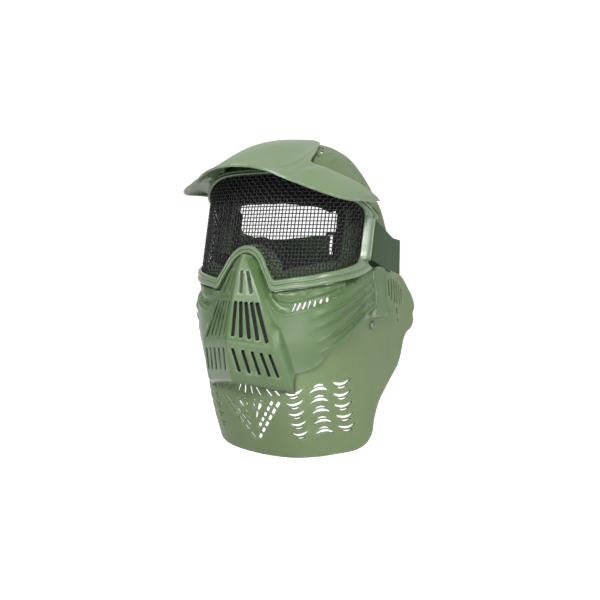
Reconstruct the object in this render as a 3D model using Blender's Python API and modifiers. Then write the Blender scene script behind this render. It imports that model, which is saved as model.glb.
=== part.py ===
"""Full face mask with a goggle frame, a woven mesh lens, a peak, a head guard and a neck guard.

Axes: +Z is up, -Y is the way the mask looks, +X is the wearer's left.
The origin is the middle of the head at the height of the nose bridge.
The tables hold hundredths of three named sizes: what lies sideways of MASK_HALF_WIDTH,
what lies back from the nose bridge of SEAT_TO_BRIDGE, and heights of BRIDGE_TO_MOUTH.
"""
import math

import bmesh
import bpy
import numpy as np
from mathutils import Matrix, Vector, geometry

MM = 0.001

# Driving dimensions
MASK_HALF_WIDTH = 100 * MM      # half the width over the peak
SEAT_TO_BRIDGE = 100 * MM       # from the origin forward to the nose bridge
BRIDGE_TO_MOUTH = 100 * MM      # from the nose bridge down to the slots of the mouth box
FIT_GAP = 0.3 * MM              # clearance between neighbouring pieces

LENS_THICKNESS = 1.2 * MM
LENS_SEATING = 2.3 * MM         # how far the lens reaches into the frame
GROOVE_GAP = 0.55 * MM          # clearance of the lens in its groove
FRAME_BACK = 12 * MM            # from the lens face back to the foam seat
FRAME_SEAT_WIDTH = 6 * MM
FRAME_WALL = 8 * MM             # height of the rim's outer wall behind the lens face
FOAM_THICKNESS = 11 * MM
FOAM_OVERHANG = 7 * MM
FOAM_GAP = 0.6 * MM

SHELL_THICKNESS = 2 * MM
SHELL_TO_NECK = 0.9 * MM        # clearance of the neck guard inside the face shell
NECK_THICKNESS = 2 * MM
VISOR_THICKNESS = 2 * MM
HEAD_THICKNESS = 2 * MM

STRAP_WIDTH = 38 * MM
STRAP_THICKNESS = 1.8 * MM
STRAP_LEAN_RUN = 45 * MM        # the front end is cut to the lean of the frame over this run
SLIDER_X = -21 * MM             # the slide adjuster sits right of the middle of the back
SLIDER_WIDTH = 21 * MM
SLIDER_MARGIN = 3 * MM
SLIDER_BAR = 2.4 * MM
SLIDER_THICKNESS = 2.2 * MM

RIVET_HEAD_RADIUS = 3.5 * MM
RIVET_HEAD_HEIGHT = 1.4 * MM
RIVET_SHANK_RADIUS = 1.7 * MM
RIVET_DEPTH = 96 * MM
RIVET_HEIGHT = -79.5 * MM

SHELL_TO_FRAME = 0.9 * MM       # clearance between frame and shell
SHEET_SPACING = 13 * MM         # grid of the curved sheets

# Plan section of the lens: it leans back with height
GOGGLE_COLUMNS = ("front", "half_width", "depth", "power", "flare", "lean", "lean_from")
GOGGLE_ROW = (5, 88, 75, 2.65, 0.07, 0.213, -13)

# Plan sections that wrap round the face, a row per height
WRAP_COLUMNS = ("up", "front", "half_width", "depth", "power", "flare")
CHEEK_ROWS = (
    (20, 12.0, 88.5, 75, 2.65, 0.11),
    (-10, 5.6, 88.5, 75, 2.65, 0.11),
    (-60, -5.0, 88.5, 77, 2.65, 0.11),
    (-85, -4.5, 89.0, 85, 2.65, 0.10),
    (-112, 0.0, 90.0, 100, 2.75, 0.05),
    (-135, 3.0, 91.0, 115, 2.90, 0.05),
)
NECK_ROWS = (
    (0, 4.0, 88.5, 84, 2.65, 0.105),
    (-20, 2.0, 88.5, 84, 2.65, 0.105),
    (-60, -1.0, 88.5, 86, 2.65, 0.105),
    (-90, -0.5, 89.1, 95, 2.70, 0.10),
    (-115, 3.0, 90.9, 112, 2.80, 0.08),
    (-142, 5.8, 92.4, 130, 3.00, 0.06),
    (-178, 16.0, 92.9, 130, 3.00, 0.04),
    (-208, 27.0, 92.9, 130, 3.00, 0.04),
)

# Half of the goggle rim, from the top middle round to the nose arch
RIM_COLUMNS = ("inner_along", "inner_up", "outer_along", "outer_up", "shroud")
RIM_ROWS = (
    (0, 67, 0, 73, 16),
    (10, 67, 10, 73, 16),
    (20, 67, 20, 73, 16),
    (29, 66.6, 29.5, 72.6, 16),
    (38, 66, 39, 72, 16),
    (52, 63, 54, 69, 15),
    (66, 57.5, 69, 63.5, 13),
    (80, 49.5, 83, 57, 10),
    (94, 42.5, 97, 50.5, 7),
    (108, 37, 112, 45.5, 4),
    (119, 31, 127, 41, 1),
    (125.5, 24, 138, 35, -2),
    (127.5, 14, 145, 24, -4),
    (127.5, 2, 146, 4, -4),
    (127, -8, 146, -14, -3),
    (122, -16, 141, -24, -1),
    (110, -20, 116, -31, 2),
    (95, -22, 98, -34, 3),
    (80, -23.5, 82, -36, 3),
    (66, -25, 67, -38, 3),
    (50, -27.5, 50, -39.5, 3),
    (38, -30, 39, -41, 2),
    (32, -31.5, 32, -42, 2),
    (29.5, -28, 26, -33, 2),
    (26, -22, 20, -24, 2),
    (20, -11.5, 14.5, -15.5, 2),
    (14, -5, 9.5, -11, 2),
    (7, -1, 5, -8.8, 2),
    (0, 0, 0, -8, 2),
)

# The shell's upper edge follows the frame out to this point of the rim
SHELL_TOP_END = 60
SHELL_TOP_UP = -24

# The nose cone and the mouth box, a row per height of the middle ridge
FACE_COLUMNS = ("row", "ridge", "edge_x", "edge", "flange_x", "flange")
FACE_ROWS = (
    (-8, 0.0, 3, 1.0, 6, 4),
    (-11, -2.0, 4, -0.5, 7, 4),
    (-23, -9.7, 12, -4.9, 18, 2),
    (-42, -15.8, 22, -7.3, 30, 1.5),
    (-51, -18.8, 26.5, -8.2, 35, 0.5),
    (-66, -22.5, 33.5, -9.3, 40, -1.5),
    (-77, -25.2, 38.5, -10.0, 44, -4),
    (-86, -27.6, 42.4, -10.4, 46.5, -4),
    (-100, -25.5, 44.0, -6.2, 48.5, -1),
    (-115, -21.8, 45.8, -1.0, 51, 4),
    (-126, -18.5, 47.2, 3.0, 52.5, 9),
    (-131, -5.0, 46.5, 9.0, 52.0, 12),
)
FACE_CREASES = (-16, -23, -32, -42, -51, -66, -77, -86, -100, -115, -126)
FLANGE_CREASE_FROM = -44        # the crease of the flange starts below this height
BOX_CORNER = (1.5, -118)        # outer lower corner of the mouth box, beyond its flange
SAG = 0.145                     # how far the box rows drop towards the sides
SAG_FROM = -25 * MM
SAG_FULL = -85 * MM
CHEEK_ROOT = 2.5 * MM           # from the flange out to the cheek

# Slots of the nose grille and the mouth box, as shares of the panel width
SLOT_COLUMNS = ("share_top", "row_top", "share_bottom", "row_bottom", "width")
GRILLE_SLOTS = (
    (0.325, -23, 0.31, -43.5, 2.2),
    (0.75, -23, 0.72, -43.5, 2.6),
    (0.145, -50.5, 0.145, -82, 2.4),
    (0.315, -50.5, 0.315, -82, 2.6),
    (0.485, -50.5, 0.485, -82, 2.8),
    (0.665, -50.5, 0.665, -82, 2.8),
    (0.86, -50.5, 0.86, -82, 2.8),
    (0.14, -93.5, 0.20, -115.5, 2.4),
    (0.33, -93.5, 0.38, -115.5, 2.4),
    (0.51, -93.5, 0.555, -115.5, 2.4),
    (0.69, -93.5, 0.73, -115.5, 2.4),
    (0.865, -93.5, 0.895, -115.5, 2.4),
)

# Lower and rear edge of the cheeks, as depth or side distance against height
CHEEK_EDGE_COLUMNS = ("measure", "value", "up")
CHEEK_EDGE = (
    ("depth", 97, -22.5),
    ("depth", 108, -25),
    ("depth", 118, -29),
    ("depth", 122, -35),
    ("depth", 124, -52),
    ("depth", 127, -70.5),
    ("depth", 108, -71.5),
    ("depth", 93, -71),
    ("depth", 74, -74),
    ("depth", 47, -85),
    ("side", 76, -99),
    ("side", 69, -110),
    ("side", 61, -115),
)

# Edge of the neck guard from the bottom middle round the back to the ear
NECK_EDGE = (
    ("side", 0, -207.5),
    ("side", 20, -206.8),
    ("side", 40, -204.5),
    ("side", 58, -201.5),
    ("side", 72, -198.5),
    ("depth", 74, -196),
    ("depth", 88, -192),
    ("depth", 95, -184),
    ("depth", 98, -172),
    ("depth", 108, -158),
    ("depth", 122, -147),
    ("depth", 136, -137.5),
    ("depth", 148, -128),
    ("depth", 154, -118),
    ("depth", 157.5, -105),
    ("depth", 163, -95),
    ("depth", 174, -89),
    ("depth", 178, -82),
    ("depth", 176, -75),
    ("depth", 179, -67),
    ("depth", 174, -57),
    ("depth", 163, -45),
    ("depth", 150, -33),
    ("depth", 133, -27.5),
    ("depth", 120, -23.5),
    ("depth", 109, -23),
    ("depth", 101, -34),
    ("depth", 98, -60),
    ("depth", 76, -66),
    ("depth", 50, -77),
    ("side", 77, -89),
    ("side", 66, -99),
    ("side", 56, -107),
    ("side", 46, -117),
    ("side", 30, -122),
    ("side", 0, -124),
)

# Crescent slots of the throat, a row per column of crescents
LOUVRE_COLUMNS = ("inner", "inner_top", "inner_low", "outer", "outer_top", "outer_low", "bow")
LOUVRES = (
    (39.6, -138.0, -178.5, 57.5, -133.4, -175.5, -3.4),
    (63.6, -138.0, -180.0, 82.2, -135.7, -178.8, 3.4),
    (88.3, -129.0, -172.7, 110.2, -127.1, -172.2, -3.4),
)
LOUVRE_ROWS = 5
LOUVRE_HEIGHT = 3.4 * MM

# Chevrons of the throat, as rows of dashes that run down towards the middle
CHEVRON_COLUMNS = ("top", "top_up", "bottom", "bottom_up", "dashes")
CHEVRONS = (
    (34.2, -147.0, 1.3, -191.0, 5),
    (26.8, -147.0, 4.6, -177.5, 4),
)
CHEVRON_WIDTH = 2.6 * MM

# Short slots under the mouth box
CHIN_SLOT_COLUMNS = ("top", "top_up", "bottom", "bottom_up")
CHIN_SLOTS = (
    (6.0, -131.5, 7.0, -141.0),
    (14.5, -131.5, 15.5, -141.0),
    (25.0, -131.5, 26.0, -141.0),
    (32.0, -131.5, 33.0, -141.0),
)
CHIN_SLOT_WIDTH = 2.4 * MM

# Upright slots of the ear guard, from the top end to the bottom end
EAR_SLOT_COLUMNS = ("top", "top_up", "bottom", "bottom_up")
EAR_SLOTS = (
    (183.0, -35.0, 183.7, -46.3),
    (187.0, -33.6, 189.0, -52.8),
    (191.5, -34.5, 194.5, -57.3),
    (196.3, -37.0, 200.0, -61.2),
    (200.6, -41.5, 205.2, -62.4),
    (205.2, -47.0, 209.6, -62.6),
)
EAR_SLOT_WIDTH = 1.7 * MM

# Slanted slots along the cheek step: the first and the last of the row
CHEEK_SLOT_COLUMNS = ("top", "top_up", "bottom", "bottom_up")
CHEEK_SLOTS = (
    (56.1, -52.8, 52.6, -60.1),
    (94.4, -46.2, 92.6, -49.2),
)
CHEEK_SLOT_COUNT = 8
CHEEK_SLOT_WIDTH = 2.2 * MM

# Peak: front lip and rear edge at matching stations, before the lift by the walls below
VISOR_COLUMNS = ("lip_x", "lip_depth", "lip_up", "rear_x", "rear_depth", "rear_up", "rise")
VISOR_ROWS = (
    (0, -20, 68, 0, 96, 102.8, 11),
    (12, -19.5, 67.5, 14, 95, 102.2, 11),
    (25, -17, 66, 27, 91, 98.7, 10),
    (38, -13, 62.5, 42, 62, 89, 8),
    (50, -8, 57, 56, 31, 72, 4),
    (62, -2, 51.5, 67, 35, 68, 4),
    (74, 6, 46, 78, 44, 62, 4),
    (85, 14, 41.5, 88, 54, 56, 4),
    (93, 21, 38.5, 94, 63, 51, 3.5),
    (98, 34, 37, 97, 72, 47.5, 3),
    (99.5, 52, 38.5, 99, 79, 44.5, 2),
    (99.5, 78, 39.5, 99.2, 84, 41.5, 0.5),
)
VISOR_LENGTH = 100 * MM         # nominal length of the peak from lip to rear edge

# Head guard: front edge above the goggles and rear edge, before the lift by its wall
HEAD_COLUMNS = ("front_x", "front_depth", "front_up", "rear_x", "rear_depth", "rear_up", "rise")
HEAD_ROWS = (
    (0, 28, 73.4, 0, 113, 102.3, 10),
    (14, 28.5, 73.4, 13, 112, 101.9, 9.9),
    (28, 30, 73.2, 26, 110, 99.2, 8.4),
    (42, 33.5, 71.9, 42, 107, 92.2, 6.5),
    (54, 37.5, 69.5, 55, 105, 84, 5),
    (66, 45, 64.3, 67, 104, 72.5, 3.5),
    (76, 54, 58.1, 77, 104, 59, 2),
    (83.5, 65, 51.7, 84.5, 105, 45, 1.5),
    (88, 77, 46.9, 89.5, 107, 32, 1),
    (91.5, 90, 43.2, 91.8, 110, 22, 0.5),
    (92.3, 100.5, 34, 92.5, 112, 13, 0),
)
HEAD_LENGTH = 75 * MM           # nominal length of the head guard from front to rear edge

# Small slots behind the peak, as distance from the middle and distance back
HEAD_SLOT_COLUMNS = ("start", "start_back", "end", "end_back")
HEAD_SLOTS = (
    (20.0, 65.5, 23.5, 65.5),
    (28.0, 63.5, 31.0, 62.0),
    (34.5, 58.0, 36.5, 55.5),
    (39.0, 50.5, 40.0, 47.0),
    (42.5, 42.0, 43.5, 38.5),
)
HEAD_SLOT_WIDTH = 1.8 * MM

# Course of the strap round the head, from the wearer's left to the middle of the back,
# with 1 in the last column where it runs inside the ear guard
STRAP_COLUMNS = ("x", "depth", "up", "inside")
STRAP_COURSE = (
    (90.2, 94.6, 2.0, 0),
    (87.6, 101, 0.0, 0),
    (89.8, 110, -2.5, 1),
    (89.3, 122, -6, 1),
    (89.8, 140, -11.5, 1),
    (83.5, 156, -14.5, 0),
    (76, 172, -14, 0),
    (62, 187, -12, 0),
    (42, 198.5, -10, 0),
    (21, 204.5, -9, 0),
    (0, 206.5, -9, 0),
)

ACROSS = MASK_HALF_WIDTH / 100 / MM
BACK = SEAT_TO_BRIDGE / 100 / MM
UPWARD = BRIDGE_TO_MOUTH / 100 / MM


def named_rows(columns, rows):
    """Turn a short table into a dictionary of arrays, with its numbers as written."""
    return {name: np.array([row[i] for row in rows], dtype=float)
            for i, name in enumerate(columns)}


def blend(x, xs, ys):
    """Smooth curve through a table, with no overshoot between its rows."""
    xs, ys = np.asarray(xs, float), np.asarray(ys, float)
    order = np.argsort(xs)
    xs, ys = xs[order], ys[order]
    slope = np.diff(ys) / np.diff(xs)
    tangent = np.zeros(len(xs))
    same_way = slope[:-1] * slope[1:] > 0
    tangent[1:-1][same_way] = (2 * slope[:-1] * slope[1:] / (slope[:-1] + slope[1:] + 1e-12))[same_way]
    tangent[0], tangent[-1] = slope[0], slope[-1]
    x = np.clip(x, xs[0], xs[-1])
    i = np.clip(np.searchsorted(xs, x) - 1, 0, len(xs) - 2)
    step = xs[i + 1] - xs[i]
    t = (x - xs[i]) / step
    return ((2 * t**3 - 3 * t**2 + 1) * ys[i] + (t**3 - 2 * t**2 + t) * step * tangent[i]
            + (3 * t**2 - 2 * t**3) * ys[i + 1] + (t**3 - t**2) * step * tangent[i + 1])


def drawn_to_real(x, depth, up):
    """Point of the tables placed in the mask, with the named sizes as they are."""
    return Vector((x * ACROSS, depth * BACK - SEAT_TO_BRIDGE, up * UPWARD))


def plan_section(half_width, depth, power, flare):
    """Right half of a plan section: rounded front, then straight flaring sides."""
    turn = np.linspace(0, math.pi / 2, 161)
    x = half_width * np.sin(turn) ** (2 / power)
    back = depth * (1 - np.cos(turn) ** (2 / power))
    run = 140 * MM
    x = np.append(x, half_width + flare * run)
    back = np.append(back, depth + run)
    along = np.concatenate([[0], np.cumsum(np.hypot(np.diff(x), np.diff(back)))])
    return along, x, back


class Wrap:
    """A surface that wraps round the face, placed by distance along its section and height."""

    def __init__(self, rows, inset=0.0):
        self.rows = named_rows(WRAP_COLUMNS, rows)
        self.inset = inset

    def section(self, up):
        value = {name: float(blend(up / MM, self.rows["up"], self.rows[name]))
                 for name in WRAP_COLUMNS[1:]}
        along, x, back = plan_section(value["half_width"] * MM - self.inset,
                                      value["depth"] * MM, value["power"], value["flare"])
        return along, x, back + value["front"] * MM

    def place(self, along, up, out=0.0):
        run, x, back = self.section(up)
        return place_on_section(run, x, back, along, up, out)

    def along_at(self, measure, value, up):
        """Distance along the section where it reaches a depth or a side distance."""
        run, x, back = self.section(up)
        return float(np.interp(value, x if measure == "side" else back, run))


def place_on_section(run, x, back, along, up, out):
    """Point of a plan section, moved outwards square to it by `out`."""
    side = math.copysign(1.0, along)
    reach = abs(along)
    here = np.array([np.interp(reach, run, x), np.interp(reach, run, back)])
    ahead = np.array([np.interp(reach + MM, run, x), np.interp(reach + MM, run, back)])
    behind_reach = max(reach - MM, 0.0)
    behind = np.array([np.interp(behind_reach, run, x), np.interp(behind_reach, run, back)])
    if reach < MM:
        behind = np.array([-ahead[0], ahead[1]])
    tangent = (ahead - behind) / np.linalg.norm(ahead - behind)
    here = here + out * np.array([tangent[1], -tangent[0]])
    return drawn_to_real(side * here[0], here[1], up)


GOGGLE = dict(zip(GOGGLE_COLUMNS, GOGGLE_ROW))
GOGGLE_SECTION = plan_section(GOGGLE["half_width"] * MM, GOGGLE["depth"] * MM,
                              GOGGLE["power"], GOGGLE["flare"])


def goggle_place(along, up, out=0.0):
    """Point of the leaning lens surface."""
    run, x, back = GOGGLE_SECTION
    lean = GOGGLE["front"] * MM + GOGGLE["lean"] * (up - GOGGLE["lean_from"] * MM)
    return place_on_section(run, x, back + lean, along, up, out)


CHEEK = Wrap(CHEEK_ROWS)
NECK = Wrap(NECK_ROWS, SHELL_THICKNESS + SHELL_TO_NECK)
FACE = named_rows(FACE_COLUMNS, FACE_ROWS)


def face_row(x, up):
    """Height of the middle ridge that a point belongs to: the rows sag towards the sides."""
    share = min(max((SAG_FROM - up) / (SAG_FROM - SAG_FULL), 0.0), 1.0)
    edge = np.interp(-up / MM, -FACE["row"], FACE["edge_x"]) * MM
    return up + SAG * share * min(abs(x), edge)


def face_value(name, row):
    """Value of the nose and mouth table at a height of the ridge."""
    return float(np.interp(-row / MM, -FACE["row"], FACE[name])) * MM


def shell_place(along, up, out=0.0):
    """Point of the face shell: the nose cone and mouth box stand out of the cheeks."""
    run, x, back = CHEEK.section(up)
    reach = abs(along)
    side_x = float(np.interp(reach, run, x))
    row = face_row(side_x, up)
    root_x = face_value("flange_x", row) + CHEEK_ROOT
    if side_x >= root_x:
        return CHEEK.place(along, up, out)
    root = float(np.interp(root_x, x, back))
    stations = [0.0, face_value("edge_x", row), face_value("flange_x", row), root_x]
    depths = [face_value("ridge", row), face_value("edge", row), face_value("flange", row), root]
    depth = float(np.interp(side_x, stations, depths))
    return drawn_to_real(math.copysign(side_x, along), depth - out, up)


def grille_point(share, row):
    """Side distance and height of a point on the grille panels."""
    x = share * face_value("edge_x", row)
    up = row
    for _ in range(4):
        up = row - (face_row(x, up) - up)
    return x, up


def inside_polygon(points, polygon):
    """Even-odd test of many points against one closed polygon."""
    px, py = points[:, 0], points[:, 1]
    inside = np.zeros(len(points), dtype=bool)
    for (x0, y0), (x1, y1) in zip(polygon, np.roll(polygon, -1, axis=0)):
        crosses = (y0 > py) != (y1 > py)
        at = (x1 - x0) * (py - y0) / ((y1 - y0) or 1e-12) + x0
        inside ^= crosses & (px < at)
    return inside


def resample(polygon, spacing):
    """Closed polygon with its long edges divided."""
    result = []
    for a, b in zip(polygon, np.roll(polygon, -1, axis=0)):
        pieces = max(1, int(math.ceil(np.linalg.norm(b - a) / spacing)))
        result += [a + (b - a) * i / pieces for i in range(pieces)]
    return np.array(result)


def pierced_faces(outline, holes, creases, spacing):
    """Triangles of a flat outline with holes, with a grid of inner points."""
    loops = [np.asarray(outline, float)] + [np.asarray(hole, float) for hole in holes]
    points, edges = [], []
    for loop in loops:
        start = len(points)
        points += list(loop)
        edges += [(start + i, start + (i + 1) % len(loop)) for i in range(len(loop))]
    for crease in creases:
        start = len(points)
        points += list(np.asarray(crease, float))
        edges += [(start + i, start + i + 1) for i in range(len(crease) - 1)]
    fixed = np.array(points)
    low, high = loops[0].min(axis=0), loops[0].max(axis=0)
    rows = int((high[1] - low[1]) / (spacing * 0.87)) + 1
    columns = int((high[0] - low[0]) / spacing) + 2
    grid = np.array([(low[0] + (i + 0.5 * (j % 2)) * spacing, low[1] + j * spacing * 0.87)
                     for j in range(rows) for i in range(columns)])
    keep = inside_polygon(grid, loops[0])
    for hole in loops[1:]:
        keep &= ~inside_polygon(grid, hole)
    distance = np.min(np.linalg.norm(grid[:, None, :] - fixed[None, :, :], axis=2), axis=1)
    grid = grid[keep & (distance > spacing * 0.55)]
    verts = [Vector(p) for p in list(fixed) + list(grid)]
    flat, _, faces, *_ = geometry.delaunay_2d_cdt(verts, edges, [], 0, 1e-7)
    flat = np.array([tuple(v) for v in flat])
    middle = np.array([flat[list(face)].mean(axis=0) for face in faces])
    keep = inside_polygon(middle, loops[0])
    for hole in loops[1:]:
        keep &= ~inside_polygon(middle, hole)
    return flat, [tuple(face) for face, kept in zip(faces, keep) if kept]


def mirrored_outline(half):
    """Whole closed outline from the right half, which starts and ends on the middle line."""
    half = [np.array(p, float) for p in half]
    left = [np.array((-p[0], p[1])) for p in reversed(half[1:-1])]
    return np.array(half + left)


def mirrored(polygon):
    """The same hole on the other side."""
    return np.array([(-x, y) for x, y in reversed(list(polygon))])


def slot_hole(start, end, width):
    """Straight slot between two points of a sheet."""
    start, end = np.array(start, float), np.array(end, float)
    along = (end - start) / np.linalg.norm(end - start)
    across = np.array((-along[1], along[0])) * width / 2
    return np.array([start - across, end - across, end + across, start + across])


def crescent_hole(left, right, bow, height, steps=3):
    """Crescent slot: thick in the middle, pointed at the ends, bowed up or down."""
    left, right = np.array(left, float), np.array(right, float)
    near, far = [], []
    for i in range(steps + 1):
        share = i / steps
        arch = 4 * share * (1 - share)
        base = left + (right - left) * share + np.array((0, bow * arch))
        near.append(base - np.array((0, height * (0.12 + 0.38 * arch))))
        far.append(base + np.array((0, height * (0.12 + 0.38 * arch))))
    return np.array(near + far[::-1])


def new_material(name, color, roughness, metallic=0.0):
    """Principled material of one piece."""
    material = bpy.data.materials.new(name)
    material.use_nodes = True
    shader = material.node_tree.nodes["Principled BSDF"]
    shader.inputs["Base Color"].default_value = (*color, 1.0)
    shader.inputs["Roughness"].default_value = roughness
    shader.inputs["Metallic"].default_value = metallic
    material.diffuse_color = (*color, 1.0)
    return material


def add_object(name, verts, faces, material, collection, smooth=False):
    """Mesh object in the mask's collection."""
    mesh = bpy.data.meshes.new(name)
    mesh.from_pydata([tuple(v) for v in verts], [], faces)
    mesh.validate()
    for polygon in mesh.polygons:
        polygon.use_smooth = smooth
    obj = bpy.data.objects.new(name, mesh)
    mesh.materials.append(material)
    collection.objects.link(obj)
    return obj


def add_thickness(obj, thickness):
    """Wall grown inwards from the outer face."""
    wall = obj.modifiers.new("Wall", 'SOLIDIFY')
    wall.thickness = thickness
    wall.offset = -1
    wall.use_even_offset = False
    wall.use_rim = True
    return wall


def add_sheet(name, flat, faces, place, thickness, material, collection):
    """Curved sheet: flat triangles placed on a surface, then given a wall."""
    obj = add_object(name, [place(x, y) for x, y in flat], faces, material, collection, True)
    add_thickness(obj, thickness)
    return obj


def ring_faces(stations, points):
    """Quads of a closed ring of closed sections."""
    faces = []
    for i in range(stations):
        for j in range(points):
            a, b = i * points + j, i * points + (j + 1) % points
            c, d = (i + 1) % stations * points + (j + 1) % points, (i + 1) % stations * points + j
            faces.append((a, b, c, d))
    return faces


def orient_outward(obj):
    """Make the faces of a closed body look outwards."""
    shape = bmesh.new()
    shape.from_mesh(obj.data)
    bmesh.ops.recalc_face_normals(shape, faces=shape.faces)
    if shape.calc_volume(signed=True) < 0:
        bmesh.ops.reverse_faces(shape, faces=shape.faces)
    shape.to_mesh(obj.data)
    shape.free()


def rim_stations():
    """Stations of the whole rim: inner point, direction across, width and shroud."""
    rows = named_rows(RIM_COLUMNS, RIM_ROWS)
    half = []
    for i in range(len(RIM_ROWS)):
        inner = np.array((rows["inner_along"][i], rows["inner_up"][i])) * MM
        outer = np.array((rows["outer_along"][i], rows["outer_up"][i])) * MM
        width = np.linalg.norm(outer - inner)
        half.append((inner, (outer - inner) / width, width, rows["shroud"][i] * MM))
    flip = np.array((-1.0, 1.0))
    left = [(inner * flip, across * flip, width, shroud)
            for inner, across, width, shroud in reversed(half[1:-1])]
    return half + left


def frame_section(width, shroud):
    """Section of the goggle frame, across the rim and outwards from the lens face."""
    groove_front = GROOVE_GAP
    groove_back = -LENS_THICKNESS - GROOVE_GAP
    groove_depth = LENS_SEATING + 1.6 * GROOVE_GAP
    return [
        (0, groove_front), (0, 2.2 * MM), (1.4 * MM, 3.8 * MM), (0.40 * width, 3.2 * MM),
        (0.52 * width, 2.2 * MM), (0.66 * width, 3.4 * MM), (width - 1.0 * MM, 3.0 * MM),
        (width, 1.6 * MM), (width, -FRAME_WALL), (FRAME_SEAT_WIDTH - shroud, -FRAME_BACK),
        (-shroud, -FRAME_BACK), (0, groove_back - 1.1 * MM), (0, groove_back),
        (groove_depth, groove_back), (groove_depth, groove_front),
    ]


def foam_section(width, shroud):
    """Section of the foam, which sits on the back of the frame."""
    front = -FRAME_BACK - FOAM_GAP
    outer = FRAME_SEAT_WIDTH - shroud - 0.5 * MM
    inner = -shroud - FOAM_OVERHANG
    return [
        (outer, front), (outer + 0.6 * MM, front - 0.5 * FOAM_THICKNESS),
        (outer - 1.5 * MM, front - FOAM_THICKNESS), (inner + 1.5 * MM, front - FOAM_THICKNESS),
        (inner, front - 0.5 * FOAM_THICKNESS), (inner + 1.5 * MM, front),
    ]


def add_ring(name, section, material, collection):
    """Ring of sections round the goggle window."""
    stations = rim_stations()
    verts, points = [], 0
    for inner, across, width, shroud in stations:
        profile = section(width, shroud)
        points = len(profile)
        for reach, out in profile:
            spot = inner + across * reach
            verts.append(goggle_place(spot[0], spot[1], out))
    obj = add_object(name, verts, ring_faces(len(stations), points), material, collection)
    orient_outward(obj)
    return obj


def build_lens(material, collection):
    """Mesh lens as a plain thin sheet seated in the groove of the frame."""
    outline = [inner + across * LENS_SEATING for inner, across, _, _ in rim_stations()]
    flat, faces = pierced_faces(np.array(outline[::-1]), [], [], SHEET_SPACING)
    return add_sheet("mesh_lens", flat, faces, goggle_place, LENS_THICKNESS, material, collection)


def shell_top_edge():
    """Upper edge of the face shell: from under the nose arch out along the frame."""
    points = []
    for inner_along, inner_up, outer_along, outer_up, _ in reversed(RIM_ROWS):
        if outer_along > SHELL_TOP_END and outer_up > SHELL_TOP_UP:
            break
        inner, outer = np.array((inner_along, inner_up)), np.array((outer_along, outer_up))
        across = (outer - inner) / np.linalg.norm(outer - inner)
        points.append(outer * MM + across * SHELL_TO_FRAME)
    return points


def build_face_shell(material, collection):
    """Nose grille, mouth box and cheeks in one moulding."""
    top = shell_top_edge()
    top[0] = np.array((0.0, top[0][1]))
    edge = [(CHEEK.along_at(measure, value * MM, up * MM), up * MM)
            for measure, value, up in CHEEK_EDGE]
    last = FACE["row"][-1] * MM
    shelf = []
    for share in (1.0, 0.6, 0.3, 0.0):
        x = share * face_value("flange_x", last)
        shelf.append((x, last - (face_row(x, last) - last)))
    corner = (face_value("flange_x", last) + BOX_CORNER[0] * MM, BOX_CORNER[1] * MM)
    half = top + edge + [corner] + shelf
    outline = resample(mirrored_outline(half)[::-1], SHEET_SPACING)
    outline[np.abs(outline[:, 0]) < 1e-6, 0] = 0.0
    holes = []
    for share_top, row_top, share_bottom, row_bottom, width in GRILLE_SLOTS:
        start = grille_point(share_top, row_top * MM)
        end = grille_point(share_bottom, row_bottom * MM)
        hole = slot_hole(start, end, width * MM)
        holes += [hole, mirrored(hole)]
    first, last_slot = (np.array(row) * MM for row in CHEEK_SLOTS)
    for i in range(CHEEK_SLOT_COUNT):
        ends = first + (last_slot - first) * i / (CHEEK_SLOT_COUNT - 1)
        hole = slot_hole(ends[:2], ends[2:], CHEEK_SLOT_WIDTH)
        holes += [hole, mirrored(hole)]
    rows = np.array(FACE_CREASES) * MM
    creases = [[(0.0, row) for row in rows]]
    for name, extra in (("edge_x", 0.0), ("flange_x", 0.0), ("flange_x", CHEEK_ROOT)):
        line = []
        for row in rows[1:]:
            x = face_value(name, row) + extra
            up = row
            for _ in range(4):
                up = row - (face_row(x, up) - up)
            if name == "edge_x" or up < FLANGE_CREASE_FROM * MM:
                line.append((x, up))
        creases += [line, [(-x, up) for x, up in line]]
    flat, faces = pierced_faces(outline, holes, creases, SHEET_SPACING)
    return add_sheet("face_shell", flat, faces, shell_place, SHELL_THICKNESS, material, collection)


def neck_holes():
    """Crescents, chevrons, chin slots, ear slots and rivet holes of the neck guard."""
    holes = []
    louvres = named_rows(LOUVRE_COLUMNS, LOUVRES)
    for i in range(len(LOUVRES)):
        for row in range(LOUVRE_ROWS):
            share = row / (LOUVRE_ROWS - 1)
            ends = [(louvres[side][i], louvres[side + "_top"][i] * (1 - share)
                     + louvres[side + "_low"][i] * share) for side in ("inner", "outer")]
            hole = crescent_hole(np.array(ends[0]) * MM, np.array(ends[1]) * MM,
                                 louvres["bow"][i] * MM, LOUVRE_HEIGHT)
            holes += [hole, mirrored(hole)]
    for top, top_up, bottom, bottom_up, dashes in CHEVRONS:
        start, end = np.array((top, top_up)) * MM, np.array((bottom, bottom_up)) * MM
        for i in range(dashes):
            hole = slot_hole(start + (end - start) * (i + 0.06) / dashes,
                             start + (end - start) * (i + 0.88) / dashes, CHEVRON_WIDTH)
            holes += [hole, mirrored(hole)]
    for table, width in ((CHIN_SLOTS, CHIN_SLOT_WIDTH), (EAR_SLOTS, EAR_SLOT_WIDTH)):
        for row in table:
            hole = slot_hole(np.array(row[:2]) * MM, np.array(row[2:]) * MM, width)
            holes += [hole, mirrored(hole)]
    centre = np.array((NECK.along_at("depth", RIVET_DEPTH, RIVET_HEIGHT), RIVET_HEIGHT))
    radius = (RIVET_SHANK_RADIUS + FIT_GAP) / math.cos(math.pi / 8)
    hole = np.array([centre + radius * np.array((math.cos(a), math.sin(a)))
                     for a in np.arange(8) * math.pi / 4])
    return holes + [hole, mirrored(hole)]


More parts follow.
